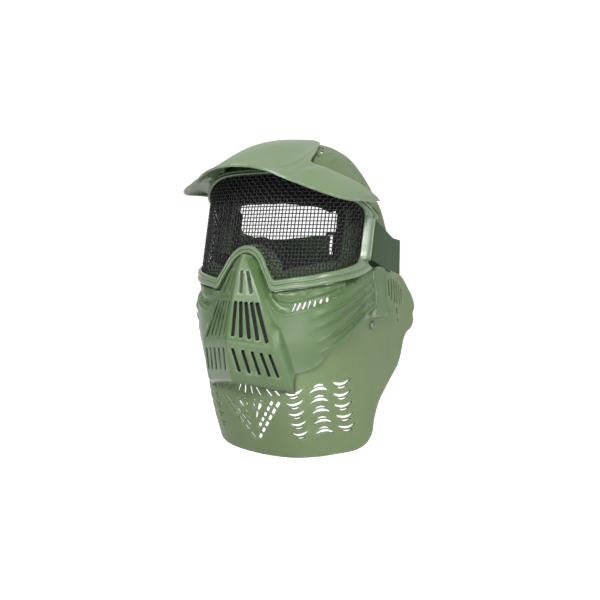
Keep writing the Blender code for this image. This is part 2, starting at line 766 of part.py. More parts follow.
def build_neck_guard(material, collection):
    """Throat guard and ear guards in one soft sheet."""
    half = [(NECK.along_at(measure, value * MM, up * MM), up * MM)
            for measure, value, up in NECK_EDGE]
    outline = resample(mirrored_outline(half), SHEET_SPACING)
    flat, faces = pierced_faces(outline, neck_holes(), [], SHEET_SPACING)
    return add_sheet("neck_guard", flat, faces, NECK.place, NECK_THICKNESS, material, collection)


class Loft:
    """Surface between two edges, bowed upwards, placed by distance across and distance back."""

    def __init__(self, columns, rows, length, lift):
        table = named_rows(columns, rows)
        self.lift = Vector((0, 0, lift))
        self.values = [table[name] * MM for name in columns]
        middle = [(self.values[i] + self.values[i + 3]) / 2 for i in range(3)]
        steps = np.sqrt(sum(np.diff(line) ** 2 for line in middle))
        self.stations = np.concatenate([[0], np.cumsum(steps)])
        self.length = length
        self.half = self.stations[-1]

    def place(self, across, back):
        share = back / self.length
        x, depth, up, rear_x, rear_depth, rear_up, rise = (
            float(blend(abs(across), self.stations, line)) for line in self.values)
        bow = share ** 0.8 if share > 0 else 0.0
        side = math.copysign(1.0, across)
        arch = rise * 4 * bow * (1 - bow)
        return self.lift + drawn_to_real(side * (x + (rear_x - x) * share),
                                         depth + (rear_depth - depth) * share,
                                         up + (rear_up - up) * share + arch)

    def outline(self):
        corners = [(-self.half, 0), (self.half, 0), (self.half, self.length),
                   (-self.half, self.length)]
        return resample(np.array(corners), SHEET_SPACING)


def build_visor(material, collection):
    """Peak with its tongue over the head guard."""
    surface = Loft(VISOR_COLUMNS, VISOR_ROWS, VISOR_LENGTH, VISOR_THICKNESS + HEAD_THICKNESS)
    flat, faces = pierced_faces(surface.outline(), [], [], SHEET_SPACING)
    return add_sheet("visor", flat, faces, surface.place, VISOR_THICKNESS, material, collection)


def build_head_guard(material, collection):
    """Guard over the forehead, with small slots behind the peak."""
    surface = Loft(HEAD_COLUMNS, HEAD_ROWS, HEAD_LENGTH, HEAD_THICKNESS)
    holes = []
    for row in HEAD_SLOTS:
        hole = slot_hole(np.array(row[:2]) * MM, np.array(row[2:]) * MM, HEAD_SLOT_WIDTH)
        holes += [hole, mirrored(hole)]
    flat, faces = pierced_faces(surface.outline(), holes, [], SHEET_SPACING)
    return add_sheet("head_guard", flat, faces, surface.place, HEAD_THICKNESS, material,
                     collection)


def strap_course():
    """Middle line of the strap as a dense course, from the wearer's left to the right."""
    walls = SHELL_THICKNESS + NECK_THICKNESS + STRAP_THICKNESS / 2
    left = [drawn_to_real(x * MM - inside * walls, depth * MM, up * MM)
            for x, depth, up, inside in STRAP_COURSE]
    points = np.array([tuple(p) for p in left] + [(-p.x, p.y, p.z) for p in reversed(left[:-1])])
    reach = np.concatenate([[0], np.cumsum(np.linalg.norm(np.diff(points, axis=0), axis=1))])
    dense = np.linspace(0, reach[-1], 400)
    return np.stack([blend(dense, reach, points[:, i]) for i in range(3)], axis=1)


def add_ribbon(name, course, material, collection):
    """Strap along a course, with its width upright."""
    tangent = np.gradient(course, axis=0)
    verts = []
    reach = np.concatenate([[0], np.cumsum(np.linalg.norm(np.diff(course, axis=0), axis=1))])
    for point, way, run in zip(course, tangent, reach):
        across = np.array((way[1], -way[0], 0.0))
        across *= STRAP_THICKNESS / 2 / np.linalg.norm(across)
        lean = GOGGLE["lean"] * max(0.0, 1 - run / STRAP_LEAN_RUN)
        upright = np.array((0, lean, 1.0)) * STRAP_WIDTH / 2
        for side, height in ((1, -1), (1, 1), (-1, 1), (-1, -1)):
            verts.append(Vector(point + across * side + upright * height))
    count = len(course)
    faces = []
    for i in range(count - 1):
        for j in range(4):
            a, b = i * 4 + j, i * 4 + (j + 1) % 4
            faces.append((a, b, b + 4, a + 4))
    faces += [(0, 1, 2, 3), tuple(4 * (count - 1) + j for j in (3, 2, 1, 0))]
    obj = add_object(name, verts, faces, material, collection)
    orient_outward(obj)
    return obj


def slider_frame(course):
    """Place of the slide adjuster: its middle and the way that the strap runs there."""
    i = int(np.argmin(np.abs(course[:, 0] - SLIDER_X) + (course[:, 1] < 0.05) * 10.0))
    way = course[i + 3] - course[i - 3]
    way[2] = 0
    return course[i], way / np.linalg.norm(way)


def looped_end(course, middle, way, sign):
    """Course of one strap half that ends looped round a bar of the adjuster."""
    bar = SLIDER_WIDTH / 2 - SLIDER_BAR / 2
    corner = math.hypot(SLIDER_BAR, SLIDER_THICKNESS) / 2
    radius = corner + 1.5 * FIT_GAP + STRAP_THICKNESS / 2
    inward = np.array((way[1], -way[0], 0.0))
    if inward[1] > 0:
        inward = -inward
    reach = (course - middle) @ way * sign
    kept = course[reach < -(bar + 16 * MM)]
    spaced = kept[::9] if sign > 0 else kept[::-1][::9]
    line = list(spaced)
    bar_centre = middle - way * sign * bar
    for back in (10 * MM, 4 * MM):
        line.append(bar_centre - way * sign * back + inward * radius)
    for turn in np.linspace(0, math.pi, 7):
        line.append(bar_centre + way * sign * radius * math.sin(turn)
                    + inward * radius * math.cos(turn))
    for back in (5 * MM, 22 * MM):
        line.append(bar_centre - way * sign * back - inward * (radius + 0.1 * MM))
    return np.array(line)


def build_strap(materials, collection):
    """Two strap halves that meet at the slide adjuster."""
    course = strap_course()
    middle, way = slider_frame(course)
    left = looped_end(course, middle, way, 1)
    right = looped_end(course, middle, way, -1)
    add_ribbon("strap_left", left, materials["strap_left"], collection)
    add_ribbon("strap_right", right, materials["strap_right"], collection)
    build_slider(middle, way, materials["strap_slider"], collection)


def build_slider(middle, way, material, collection):
    """Slide adjuster: a flat frame with a middle bar, pierced by two windows."""
    height = STRAP_WIDTH + 2 * FIT_GAP + 2 * SLIDER_MARGIN
    window_height = STRAP_WIDTH + 2 * FIT_GAP
    window_width = (SLIDER_WIDTH - 3 * SLIDER_BAR) / 2
    outline = np.array([(-SLIDER_WIDTH / 2, -height / 2), (SLIDER_WIDTH / 2, -height / 2),
                        (SLIDER_WIDTH / 2, height / 2), (-SLIDER_WIDTH / 2, height / 2)])
    holes = []
    for side in (-1, 1):
        centre = side * (window_width + SLIDER_BAR) / 2
        low, high = centre - window_width / 2, centre + window_width / 2
        holes.append(np.array([(low, -window_height / 2), (high, -window_height / 2),
                               (high, window_height / 2), (low, window_height / 2)]))
    flat, faces = pierced_faces(outline, holes, [], 0.2)
    square = np.array((way[1], -way[0], 0.0))
    upright = np.array((0.0, 0.0, 1.0))
    verts = [Vector(middle + way * u + upright * v + square * SLIDER_THICKNESS / 2)
             for u, v in flat]
    obj = add_object("strap_slider", verts, faces, material, collection)
    shape = bmesh.new()
    shape.from_mesh(obj.data)
    shape.normal_update()
    if sum(face.normal.dot(Vector(square)) for face in shape.faces) < 0:
        bmesh.ops.reverse_faces(shape, faces=shape.faces)
    shape.to_mesh(obj.data)
    shape.free()
    add_thickness(obj, SLIDER_THICKNESS)
    return obj


def build_rivet(name, side, material, collection):
    """Domed rivet through the neck guard, turned about its own axis."""
    along = NECK.along_at("depth", RIVET_DEPTH, RIVET_HEIGHT)
    outer = NECK.place(side * along, RIVET_HEIGHT, FIT_GAP)
    inner = NECK.place(side * along, RIVET_HEIGHT, -NECK_THICKNESS - FIT_GAP)
    axis = (outer - inner).normalized()
    length = (outer - inner).length
    profile = [
        (0.0, RIVET_HEAD_HEIGHT), (0.55 * RIVET_HEAD_RADIUS, 0.85 * RIVET_HEAD_HEIGHT),
        (0.9 * RIVET_HEAD_RADIUS, 0.45 * RIVET_HEAD_HEIGHT), (RIVET_HEAD_RADIUS, 0.0),
        (RIVET_SHANK_RADIUS, 0.0), (RIVET_SHANK_RADIUS, -length),
        (0.8 * RIVET_HEAD_RADIUS, -length), (0.75 * RIVET_HEAD_RADIUS, -length - 1.0 * MM),
        (0.0, -length - 1.0 * MM),
    ]
    shape = bmesh.new()
    verts = [shape.verts.new((radius, 0, height)) for radius, height in profile]
    edges = [shape.edges.new((a, b)) for a, b in zip(verts, verts[1:])]
    bmesh.ops.spin(shape, geom=verts + edges, cent=(0, 0, 0), axis=(0, 0, 1),
                   angle=2 * math.pi, steps=16, use_merge=True)
    bmesh.ops.remove_doubles(shape, verts=shape.verts, dist=0.05 * MM)
    mesh = bpy.data.meshes.new(name)
    shape.to_mesh(mesh)
    shape.free()
    for polygon in mesh.polygons:
        polygon.use_smooth = True
    mesh.transform(axis.to_track_quat('Z', 'Y').to_matrix().to_4x4())
    mesh.transform(Matrix.Translation(outer))
    mesh.materials.append(material)
    obj = bpy.data.objects.new(name, mesh)
    collection.objects.link(obj)
    orient_outward(obj)
    return obj


def build_mask():
    """All the pieces of the mask."""
    for obj in list(bpy.data.objects):
        bpy.data.objects.remove(obj, do_unlink=True)
    collection = bpy.data.collections.new("full_face_mask")
    bpy.context.scene.collection.children.link(collection)
    shell_green = (0.115, 0.205, 0.085)
    soft_green = (0.135, 0.185, 0.075)
    black = (0.012, 0.012, 0.013)
    looks = {
        "goggle_frame": (shell_green, 0.42, 0.0), "mesh_lens": (black, 0.45, 0.6),
        "foam_gasket": (black, 0.95, 0.0), "face_shell": (shell_green, 0.42, 0.0),
        "neck_guard": (soft_green, 0.6, 0.0), "visor": (shell_green, 0.4, 0.0),
        "head_guard": (soft_green, 0.58, 0.0), "strap_left": ((0.05, 0.085, 0.05), 0.9, 0.0),
        "strap_right": ((0.05, 0.085, 0.05), 0.9, 0.0), "strap_slider": (black, 0.5, 0.0),
        "rivet_left": ((0.09, 0.14, 0.09), 0.45, 0.2), "rivet_right": ((0.09, 0.14, 0.09), 0.45, 0.2),
    }
    materials = {name: new_material(name, *look) for name, look in looks.items()}
    add_ring("goggle_frame", frame_section, materials["goggle_frame"], collection)
    build_lens(materials["mesh_lens"], collection)
    add_ring("foam_gasket", foam_section, materials["foam_gasket"], collection)
    build_face_shell(materials["face_shell"], collection)
    build_neck_guard(materials["neck_guard"], collection)
    build_visor(materials["visor"], collection)
    build_head_guard(materials["head_guard"], collection)
    build_strap(materials, collection)
    build_rivet("rivet_left", 1, materials["rivet_left"], collection)
    build_rivet("rivet_right", -1, materials["rivet_right"], collection)


build_mask()
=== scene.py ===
# %% [markdown]
# # A full face mask, dressed for its portrait
# The mask is a moulded face shell under a goggle frame, with a peak and a head guard above it and
# a soft guard round the throat and ears. Most pieces are curved sheets or rings, so much of this
# lesson is one idea used many times: draw a piece flat, with its slots cut out, and then carry
# every point of the drawing onto the curved surface that the piece follows.

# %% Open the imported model
import math

import bmesh
import bpy
import numpy as np
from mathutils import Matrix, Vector, geometry, kdtree


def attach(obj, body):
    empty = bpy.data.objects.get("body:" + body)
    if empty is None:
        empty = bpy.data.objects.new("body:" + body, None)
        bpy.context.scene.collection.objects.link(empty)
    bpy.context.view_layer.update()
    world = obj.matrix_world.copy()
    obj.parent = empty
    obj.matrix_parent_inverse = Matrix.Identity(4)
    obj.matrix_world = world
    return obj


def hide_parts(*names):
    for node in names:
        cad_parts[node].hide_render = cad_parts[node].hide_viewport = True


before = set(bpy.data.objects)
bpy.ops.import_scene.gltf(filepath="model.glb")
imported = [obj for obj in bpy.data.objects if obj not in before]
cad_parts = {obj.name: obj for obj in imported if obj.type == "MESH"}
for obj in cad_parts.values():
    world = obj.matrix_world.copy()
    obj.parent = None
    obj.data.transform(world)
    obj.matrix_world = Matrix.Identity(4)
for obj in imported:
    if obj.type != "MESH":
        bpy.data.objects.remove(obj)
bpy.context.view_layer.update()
MM = 0.001
print("CAD nodes:", sorted(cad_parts))

# %% [markdown]
# ## The camera
# The camera stands 0.65 m from the bridge of the nose, at the front left of the wearer and almost
# level with the eyes. It is made first, because every later piece is judged through it.

# %% Camera
def linked(name, data):
    """New object, linked to the scene."""
    obj = bpy.data.objects.new(name, data)
    bpy.context.scene.collection.objects.link(obj)
    return obj


SENSOR, FOCAL_PIXELS, PICTURE_PIXELS = 36, 690, 600
LOOK_DOWN, LOOK_LEFT = math.atan(62 / FOCAL_PIXELS), math.radians(33)
camera_data = bpy.data.cameras.new("portrait")
camera_data.sensor_width = SENSOR
camera_data.lens = SENSOR * FOCAL_PIXELS / PICTURE_PIXELS
camera_data.clip_start = 0.01
camera = linked("portrait", camera_data)
camera.location = (0.3977, -0.6152, 0.0068)
camera.rotation_euler = (math.pi / 2 - LOOK_DOWN, 0, LOOK_LEFT)
bpy.context.scene.camera = camera
print("camera at", [round(v, 3) for v in camera.location])

# %% [markdown]
# ## Curves and tables
# A mould maker gives a shape as a few sections. Three small helpers turn such tables into smooth
# shapes: `blend` runs a curve through a table without overshooting, `flow` draws a rounded line
# through corner points, and `eased` softens a table but keeps the creases that are named.

# %% Helpers for tables and lines
def columns(names, rows):
    """Short table as a dictionary of arrays."""
    return {name: np.array([row[i] for row in rows], dtype=float) for i, name in enumerate(names)}


def blend(x, xs, ys):
    """Smooth curve through a table, with no overshoot between its rows."""
    xs, ys = np.asarray(xs, float), np.asarray(ys, float)
    order = np.argsort(xs)
    xs, ys = xs[order], ys[order]
    slope = np.diff(ys) / np.diff(xs)
    tangent = np.zeros(len(xs))
    same = slope[:-1] * slope[1:] > 0
    tangent[1:-1][same] = (2 * slope[:-1] * slope[1:] / (slope[:-1] + slope[1:] + 1e-12))[same]
    tangent[0], tangent[-1] = slope[0], slope[-1]
    x = np.clip(x, xs[0], xs[-1])
    i = np.clip(np.searchsorted(xs, x) - 1, 0, len(xs) - 2)
    step = xs[i + 1] - xs[i]
    t = (x - xs[i]) / step
    return ((2 * t**3 - 3 * t**2 + 1) * ys[i] + (t**3 - 2 * t**2 + t) * step * tangent[i]
            + (3 * t**2 - 2 * t**3) * ys[i + 1] + (t**3 - t**2) * step * tangent[i + 1])


def ease(value, low, high):
    """From 0 below low to 1 above high, with a soft start and end."""
    t = np.clip((np.asarray(value, float) - low) / (high - low), 0, 1)
    return t * t * (3 - 2 * t)


def side_of(along):
    """-1 on the wearer's right and 1 on the left."""
    return np.where(along < 0, -1.0, 1.0)


def run_of(points):
    """Distance along a line from its first point to each of its points."""
    return np.concatenate([[0], np.cumsum(np.linalg.norm(np.diff(points, axis=0), axis=1))])


def spaced(points, step):
    """The same open line with points at even steps."""
    points = np.asarray(points, float)
    run = run_of(points)
    count = max(2, int(round(run[-1] / step)) + 1)
    at = np.linspace(0, run[-1], count)
    return np.stack([np.interp(at, run, points[:, i]) for i in range(points.shape[1])], axis=1)


def flow(points, step, closed=False, corners=()):
    """Rounded line through corner points; the numbered corners stay sharp."""
    points = np.asarray(points, float)
    count = len(points)
    spans = count if closed else count - 1
    line = []
    for i in range(spans):
        p1, p2 = points[i], points[(i + 1) % count]
        p0 = points[i - 1] if (closed or i > 0) else 2 * p1 - p2
        p3 = points[(i + 2) % count] if (closed or i + 2 < count) else 2 * p2 - p1
        if i in corners:
            p0 = 2 * p1 - p2
        if (i + 1) % count in corners:
            p3 = 2 * p2 - p1
        knots = [0.0]
        for a, b in ((p0, p1), (p1, p2), (p2, p3)):
            knots.append(knots[-1] + max(np.linalg.norm(b - a), 1e-9) ** 0.5)
        t = np.linspace(knots[1], knots[2], 13)[:-1, None]

        def between(first, second, low, high):
            width = knots[high] - knots[low]
            return (knots[high] - t) / width * first + (t - knots[low]) / width * second

        a1, a2, a3 = between(p0, p1, 0, 1), between(p1, p2, 1, 2), between(p2, p3, 2, 3)
        span = between(between(a1, a2, 0, 2), between(a2, a3, 1, 3), 1, 2)
        line.append(spaced(np.vstack([span, p2]), step)[:-1])
    line = np.vstack(line)
    return line if closed else np.vstack([line, points[-1]])


def eased(xs, ys, creases, soft=3.0, crisp=0.7):
    """Table as a fine lookup, rounded by `soft` but only by `crisp` at the creases."""
    xs, ys = np.asarray(xs, float), np.asarray(ys, float)
    order = np.argsort(xs)
    xs, ys = xs[order], ys[order]
    fine = np.arange(xs[0], xs[-1] + 0.125, 0.25)
    pad = 12.0
    wide = np.arange(xs[0] - pad, xs[-1] + pad, 0.25)
    first = ys[0] + (ys[1] - ys[0]) / (xs[1] - xs[0]) * (wide - xs[0])
    last = ys[-1] + (ys[-1] - ys[-2]) / (xs[-1] - xs[-2]) * (wide - xs[-1])
    raw = np.where(wide < xs[0], first, np.where(wide > xs[-1], last, np.interp(wide, xs, ys)))
    near = 99
    if len(creases):
        near = np.min(np.abs(fine[:, None] - np.array(creases)[None, :]), axis=1)
    width = crisp + (soft - crisp) * ease(near, 1.0, 8.0) * np.ones(len(fine))
    weight = np.exp(-0.5 * ((fine[:, None] - wide[None, :]) / width[:, None]) ** 2)
    return fine, (weight @ raw) / weight.sum(axis=1)


# %% [markdown]
# ## The surface that wraps round the face
# Seen from above, every section of the mask is the same kind of curve: a rounded front that turns
# into almost straight sides. `Wrap` keeps a fine grid of such sections at many heights. A point on
# it has two coordinates, like a label on a bottle: how far round (`along`) and how high (`up`).

# %% Wrapping surfaces
SEAT_TO_BRIDGE = 100 * MM


def plan_section(half_width, depth, power, flare):
    """Right half of a plan section: rounded front, then straight flaring sides."""
    turn = np.linspace(0, math.pi / 2, 161)
    x = half_width * np.sin(turn) ** (2 / power)
    back = depth * (1 - np.cos(turn) ** (2 / power))
    run = 140 * MM
    x = np.append(x, half_width + flare * run)
    back = np.append(back, depth + run)
    along = np.concatenate([[0], np.cumsum(np.hypot(np.diff(x), np.diff(back)))])
    return along, x, back


def grid_value(grid, row, col):
    """Value of a grid between its rows and columns."""
    row = np.clip(row, 0, grid.shape[0] - 1.001)
    col = np.clip(col, 0, grid.shape[1] - 1.001)
    i, j = row.astype(int), col.astype(int)
    r, c = row - i, col - j
    return ((grid[i, j] * (1 - r) + grid[i + 1, j] * r) * (1 - c)
            + (grid[i, j + 1] * (1 - r) + grid[i + 1, j + 1] * r) * c)


def moved_out(section, along, out):
    """Points of a plan section, moved outwards square to it: side distance and depth.

    `section` gives both for a distance round it.
    """
    reach = np.abs(along)
    x, back = section(reach)
    ahead, behind = section(reach + MM), section(np.maximum(reach - MM, 0))
    turn_x, turn_y = ahead[0] - behind[0], ahead[1] - behind[1]
    turn_y = np.where(reach < MM, turn_y * (reach / MM), turn_y)
    size = np.hypot(turn_x, turn_y)
    return side_of(along) * (x + out * turn_y / size), back - out * turn_x / size


class Wrap:
    """A surface placed by distance round its plan section and height."""

    STEP = 0.5 * MM
    ALONG = np.arange(0, 262, 0.5) * MM

    def __init__(self, rows, inset=0.0):
        table = columns(("up", "front", "half_width", "depth", "power", "flare"), rows)
        self.ups = np.arange(min(table["up"]) - 1, max(table["up"]) + 1.5, 1.0) * MM
        self.x, self.back = [], []
        for up in self.ups:
            value = {k: float(blend(up / MM, table["up"], table[k])) for k in table if k != "up"}
            along, x, back = plan_section(value["half_width"] * MM - inset, value["depth"] * MM,
                                          value["power"], value["flare"])
            self.x.append(np.interp(self.ALONG, along, x))
            self.back.append(np.interp(self.ALONG, along, back) + value["front"] * MM)
        self.x, self.back = np.array(self.x), np.array(self.back)

    def read(self, grid, along, up):
        """Value of one of the two grids at points of the surface."""
        return grid_value(grid, (np.asarray(up) - self.ups[0]) / MM, np.abs(along) / self.STEP)

    def along_at(self, measure, value, up):
        """Distance round the section where it reaches a depth or a side distance."""
        grid = self.x if measure == "side" else self.back
        line = self.read(grid, self.ALONG, np.full(len(self.ALONG), up))
        return float(np.interp(value, line, self.ALONG))

    def edge(self, table):
        """Corners of an outline, from runs of a measure and its values and heights."""
        return np.array([(self.along_at(measure, value * MM, up * MM), up * MM)
                         for measure, *run in table for value, up in run])

    def place(self, along, up, out=0.0):
        """Points in the room; `out` moves them outwards, square to the plan section."""
        along, up = np.asarray(along, float), np.asarray(up, float)

        def section(reach):
            return self.read(self.x, reach, up), self.read(self.back, reach, up)

        x, back = moved_out(section, along, out)
        return np.stack([x, back - SEAT_TO_BRIDGE, up], axis=1)


CHEEK = Wrap((
    (20, 12.0, 88.5, 75, 2.65, 0.11),
    (-10, 5.6, 88.5, 75, 2.65, 0.11),
    (-60, -5.0, 88.5, 77, 2.65, 0.11),
    (-85, -4.5, 89.0, 85, 2.65, 0.10),
    (-112, 0.0, 90.0, 100, 2.75, 0.05),
    (-135, 3.0, 91.0, 115, 2.90, 0.05),
))
NECK = Wrap((
    (0, 4.0, 88.5, 84, 2.65, 0.105),
    (-20, 2.0, 88.5, 84, 2.65, 0.105),
    (-60, -1.0, 88.5, 86, 2.65, 0.105),
    (-90, -0.5, 89.1, 95, 2.70, 0.10),
    (-115, 3.0, 90.9, 112, 2.80, 0.08),
    (-142, 5.8, 92.4, 130, 3.00, 0.06),
    (-178, 16.0, 92.9, 130, 3.00, 0.04),
    (-208, 27.0, 92.9, 130, 3.00, 0.04),
), 2.9 * MM)
print("wrap grids:", CHEEK.x.shape, NECK.x.shape)

# %% [markdown]
# ## Drawing a piece flat
# A pierced sheet starts as a flat drawing: an outline, the slots, and lines where the surface
# breaks. A constrained Delaunay triangulation fills the drawing with even triangles that never
# cross those lines. Boolean cuts would also work, but they leave long thin faces that shade badly.

# %% Flat drawings
def inside(points, polygon):
    """Even-odd test of many points against one closed polygon."""
    px, py = points[:, 0], points[:, 1]
    hit = np.zeros(len(points), dtype=bool)
    for (x0, y0), (x1, y1) in zip(polygon, np.roll(polygon, -1, axis=0)):
        crosses = (y0 > py) != (y1 > py)
        hit ^= crosses & (px < (x1 - x0) * (py - y0) / ((y1 - y0) or 1e-12) + x0)
    return hit


def both(shapes):
    """Each shape and its twin on the other side of the middle."""
    return list(shapes) + [np.array([(-x, y) for x, y in reversed(list(s))]) for s in shapes]


def whole(half):
    """Closed outline from its right half, which starts and ends on the middle line."""
    half = np.array(half, float)
    half[np.abs(half[:, 0]) < 1e-6, 0] = 0
    return np.vstack([half, [(-x, y) for x, y in half[::-1] if x > 1e-6]])


def slot(start, end, width, end_width=None, round_steps=5, square=1.0):
    """Straight slot with rounded ends, which may taper; a low `square` makes the ends squarer."""
    start, end = np.array(start, float), np.array(end, float)
    end_width = width if end_width is None else end_width
    way = (end - start) / np.linalg.norm(end - start)
    side = np.array((-way[1], way[0]))
    outline = []
    for centre, size, first in ((start, width, math.pi / 2), (end, end_width, -math.pi / 2)):
        middle = centre + way * size / 2 * (1 if first > 0 else -1)
        for turn in np.linspace(first, first + math.pi, round_steps + 1):
            ahead, aside = (math.copysign(abs(v) ** square, v)
                            for v in (math.cos(turn), math.sin(turn)))
            outline.append(middle + size / 2 * (way * ahead + side * aside))
    return np.array(outline)


def slots(table, width=None, **shape):
    """Slots from rows of two points in millimetres and their own widths, or else one for all."""
    return [slot((x0 * MM, y0 * MM), (x1 * MM, y1 * MM), *(w * MM for w in own or (width,)),
                 **shape) for x0, y0, x1, y1, *own in table]


def crescent(left, right, bow, height, steps=10):
    """Crescent slot: thick in the middle, pointed at the ends, bowed up or down."""
    left, right = np.array(left, float), np.array(right, float)
    low, high = [], []
    for share in np.linspace(0, 1, steps + 1):
        arch = 4 * share * (1 - share)
        base = left + (right - left) * share + np.array((0, bow * arch))
        half = height * (0.10 + 0.40 * arch ** 0.8)
        low.append(base - np.array((0, half)))
        high.append(base + np.array((0, half)))
    return np.array(low + high[::-1])


def distance_to(marks, points):
    """Distance of each flat point from the nearest mark."""
    tree = kdtree.KDTree(len(marks))
    for i, (x, y) in enumerate(marks):
        tree.insert((x, y, 0), i)
    tree.balance()
    return np.array([tree.find((x, y, 0))[2] for x, y in points])


def fill(outline, holes, creases, spacing, fine=None):
    """Points and triangles of a flat drawing. `fine` gives lines beside which they are smaller."""
    loops = [np.asarray(outline, float)] + [np.asarray(h, float) for h in holes]
    points, edges = [], []
    for loop in loops:
        start, count = len(points), len(loop)
        points += list(loop)
        edges += [(start + i, start + (i + 1) % count) for i in range(count)]
    for crease in creases:
        start = len(points)
        points += list(crease)
        edges += [(start + i, start + i + 1) for i in range(len(crease) - 1)]
    fixed = np.array(points)
    low, high = loops[0].min(axis=0), loops[0].max(axis=0)

    def lattice(step):
        rows = int((high[1] - low[1]) / (step * 0.87)) + 2
        count = int((high[0] - low[0]) / step) + 2
        j, i = np.meshgrid(np.arange(rows), np.arange(count), indexing="ij")
        middle = (low[0] + high[0]) / 2
        x = middle + (i - count // 2 + 0.5 * (j % 2)) * step
        return np.stack([x.ravel(), (low[1] + j * step * 0.87).ravel()], axis=1)

    def within(candidates):
        kept = inside(candidates, loops[0])
        for hole in loops[1:]:
            near = np.all((candidates > hole.min(axis=0)) & (candidates < hole.max(axis=0)), axis=1)
            kept[near] &= ~inside(candidates[near], hole)
        return kept

    extra = np.empty((0, 2))
    if fine is not None:
        lines, reach, step = fine
        dots = np.vstack([spaced(line, step) for line in lines])
        small = lattice(step)
        small = small[distance_to(dots, small) <= reach]
        small = small[within(small)]
        extra = small[distance_to(fixed, small) > step * 0.6]
    large = lattice(spacing)
    large = large[within(large)]
    large = large[distance_to(fixed, large) > spacing * 0.6]
    if len(extra):
        large = large[distance_to(extra, large) > spacing * 0.7]
    verts = [Vector(p) for p in np.vstack([fixed, extra, large])]
    flat, _, faces, *_ = geometry.delaunay_2d_cdt(verts, edges, [], 0, 1e-8)
    flat = np.array([tuple(v) for v in flat])
    faces = [tuple(face) for face in faces if len(face) == 3]
    middle = flat[np.array(faces)].mean(axis=1)
    kept = within(middle)
    return flat, [face for face, keep in zip(faces, kept) if keep]


# %% Flat drawing to solid sheet
def shaded(mesh, sharp=0):
    """Shade smoothly, but break at edges sharper than an angle in degrees."""
    mesh.polygons.foreach_set("use_smooth", [True] * len(mesh.polygons))
    if sharp:
        mesh.set_sharp_from_angle(angle=math.radians(sharp))


def marked(obj, label, values):
    """Give every point a value that a material can read."""
    mark = obj.data.attributes.new(label, 'FLOAT', 'POINT')
    mark.data.foreach_set("value", values.astype(np.float32))


def piece(name, verts, faces, material):
    """Mesh object with smooth shading."""
    mesh = bpy.data.meshes.new(name)
    mesh.from_pydata([tuple(v) for v in verts], [], faces)
    mesh.validate()
    shaded(mesh)
    mesh.materials.append(material)
    return linked(name, mesh)


def swept(name, loops, material, closed=False, sharp=0):
    """Solid through loops of points, joined into a ring or else capped, with its faces outwards."""
    total, size = len(loops), len(loops[0])
    faces = [(i * size + j, i * size + (j + 1) % size,
              (i + 1) % total * size + (j + 1) % size, (i + 1) % total * size + j)
             for i in range(total if closed else total - 1) for j in range(size)]
    if not closed:
        faces += [tuple(range(size)), tuple((total - 1) * size + j for j in range(size))]
    obj = piece(name, np.reshape(loops, (-1, 3)), faces, material)
    shape = bmesh.new()
    shape.from_mesh(obj.data)
    bmesh.ops.recalc_face_normals(shape, faces=shape.faces)
    if shape.calc_volume(signed=True) < 0:
        bmesh.ops.reverse_faces(shape, faces=shape.faces)
    shape.to_mesh(obj.data)
    shape.free()
    shaded(obj.data, sharp)
    return obj


def baked(obj, sharp):
    """Turn the modifiers of a piece into plain mesh."""
    shaped = obj.evaluated_get(bpy.context.evaluated_depsgraph_get())
    made = bpy.data.meshes.new_from_object(shaped)
    old, obj.data = obj.data, made
    obj.modifiers.clear()
    bpy.data.meshes.remove(old)
    made.name = obj.name
    shaded(made, sharp)


# Width of the pale band along cut edges: partly scuffing, partly a painted highlight.
EDGE_SCUFF_AND_HIGHLIGHT_WIDTH = 0.9 * MM


def sheet(name, flat, faces, points, thickness, material, edge=0.25 * MM):
    """Curved sheet with a wall grown inwards and softened edges."""
    rim = boundary_distance(flat, faces)
    obj = piece(name, points, faces, material)
    marked(obj, "wear", np.exp(-rim / EDGE_SCUFF_AND_HIGHLIGHT_WIDTH))
    wall = obj.modifiers.new("wall", 'SOLIDIFY')
    wall.thickness, wall.offset = thickness, -1
    wall.use_even_offset = False
    round_edge = obj.modifiers.new("edge", 'BEVEL')
    round_edge.width, round_edge.segments = edge, 2
    round_edge.limit_method = 'ANGLE'
    round_edge.angle_limit = math.radians(50)
    baked(obj, 40)
    print(f"{name}: {len(faces)} flat triangles, {len(obj.data.polygons)} faces in all")
    return obj


def boundary_distance(flat, faces):
    """Distance of each flat point from the nearest cut edge."""
    seen = {}
    for a, b, c in faces:
        for pair in ((a, b), (b, c), (c, a)):
            key = (min(pair), max(pair))
            seen[key] = seen.get(key, 0) + 1
    edge = sorted({i for key, count in seen.items() if count == 1 for i in key})
    return distance_to(flat[edge], flat)


# %% [markdown]
# ## Shader maths as Python
# A material is a small calculation done at every point of a surface. Node trees get long, so
# `Signal` wraps one socket and lets `+`, `-`, `*` and `/` add the Math nodes. `Nodes` has one
# method, `node`, for every other kind of node. It serves materials here, and later on the weaving
# of the lens and the light of the room.

# %% Signals and finishes
class Signal:
    """A value that varies from point to point: one socket of a node tree."""

    def __init__(self, nodes, socket):
        self.nodes, self.socket = nodes, socket

    def __add__(self, other):
        return self.nodes.math("ADD", self, other)

    def __sub__(self, other):
        return self.nodes.math("SUBTRACT", self, other)

    def __rsub__(self, other):
        return self.nodes.math("SUBTRACT", other, self)

    def __mul__(self, other):
        return self.nodes.math("MULTIPLY", self, other)

    def __truediv__(self, other):
        return self.nodes.math("DIVIDE", self, other)

    def __rtruediv__(self, other):
        return self.nodes.math("DIVIDE", other, self)

    __radd__, __rmul__ = __add__, __mul__

    def between(self, low, high):
        """0 below low, 1 above high, smooth in between."""
        settings = {"interpolation_type": 'SMOOTHSTEP'}
        return self.nodes.node("ShaderNodeMapRange", settings, {0: self, 1: low, 2: high})[0]


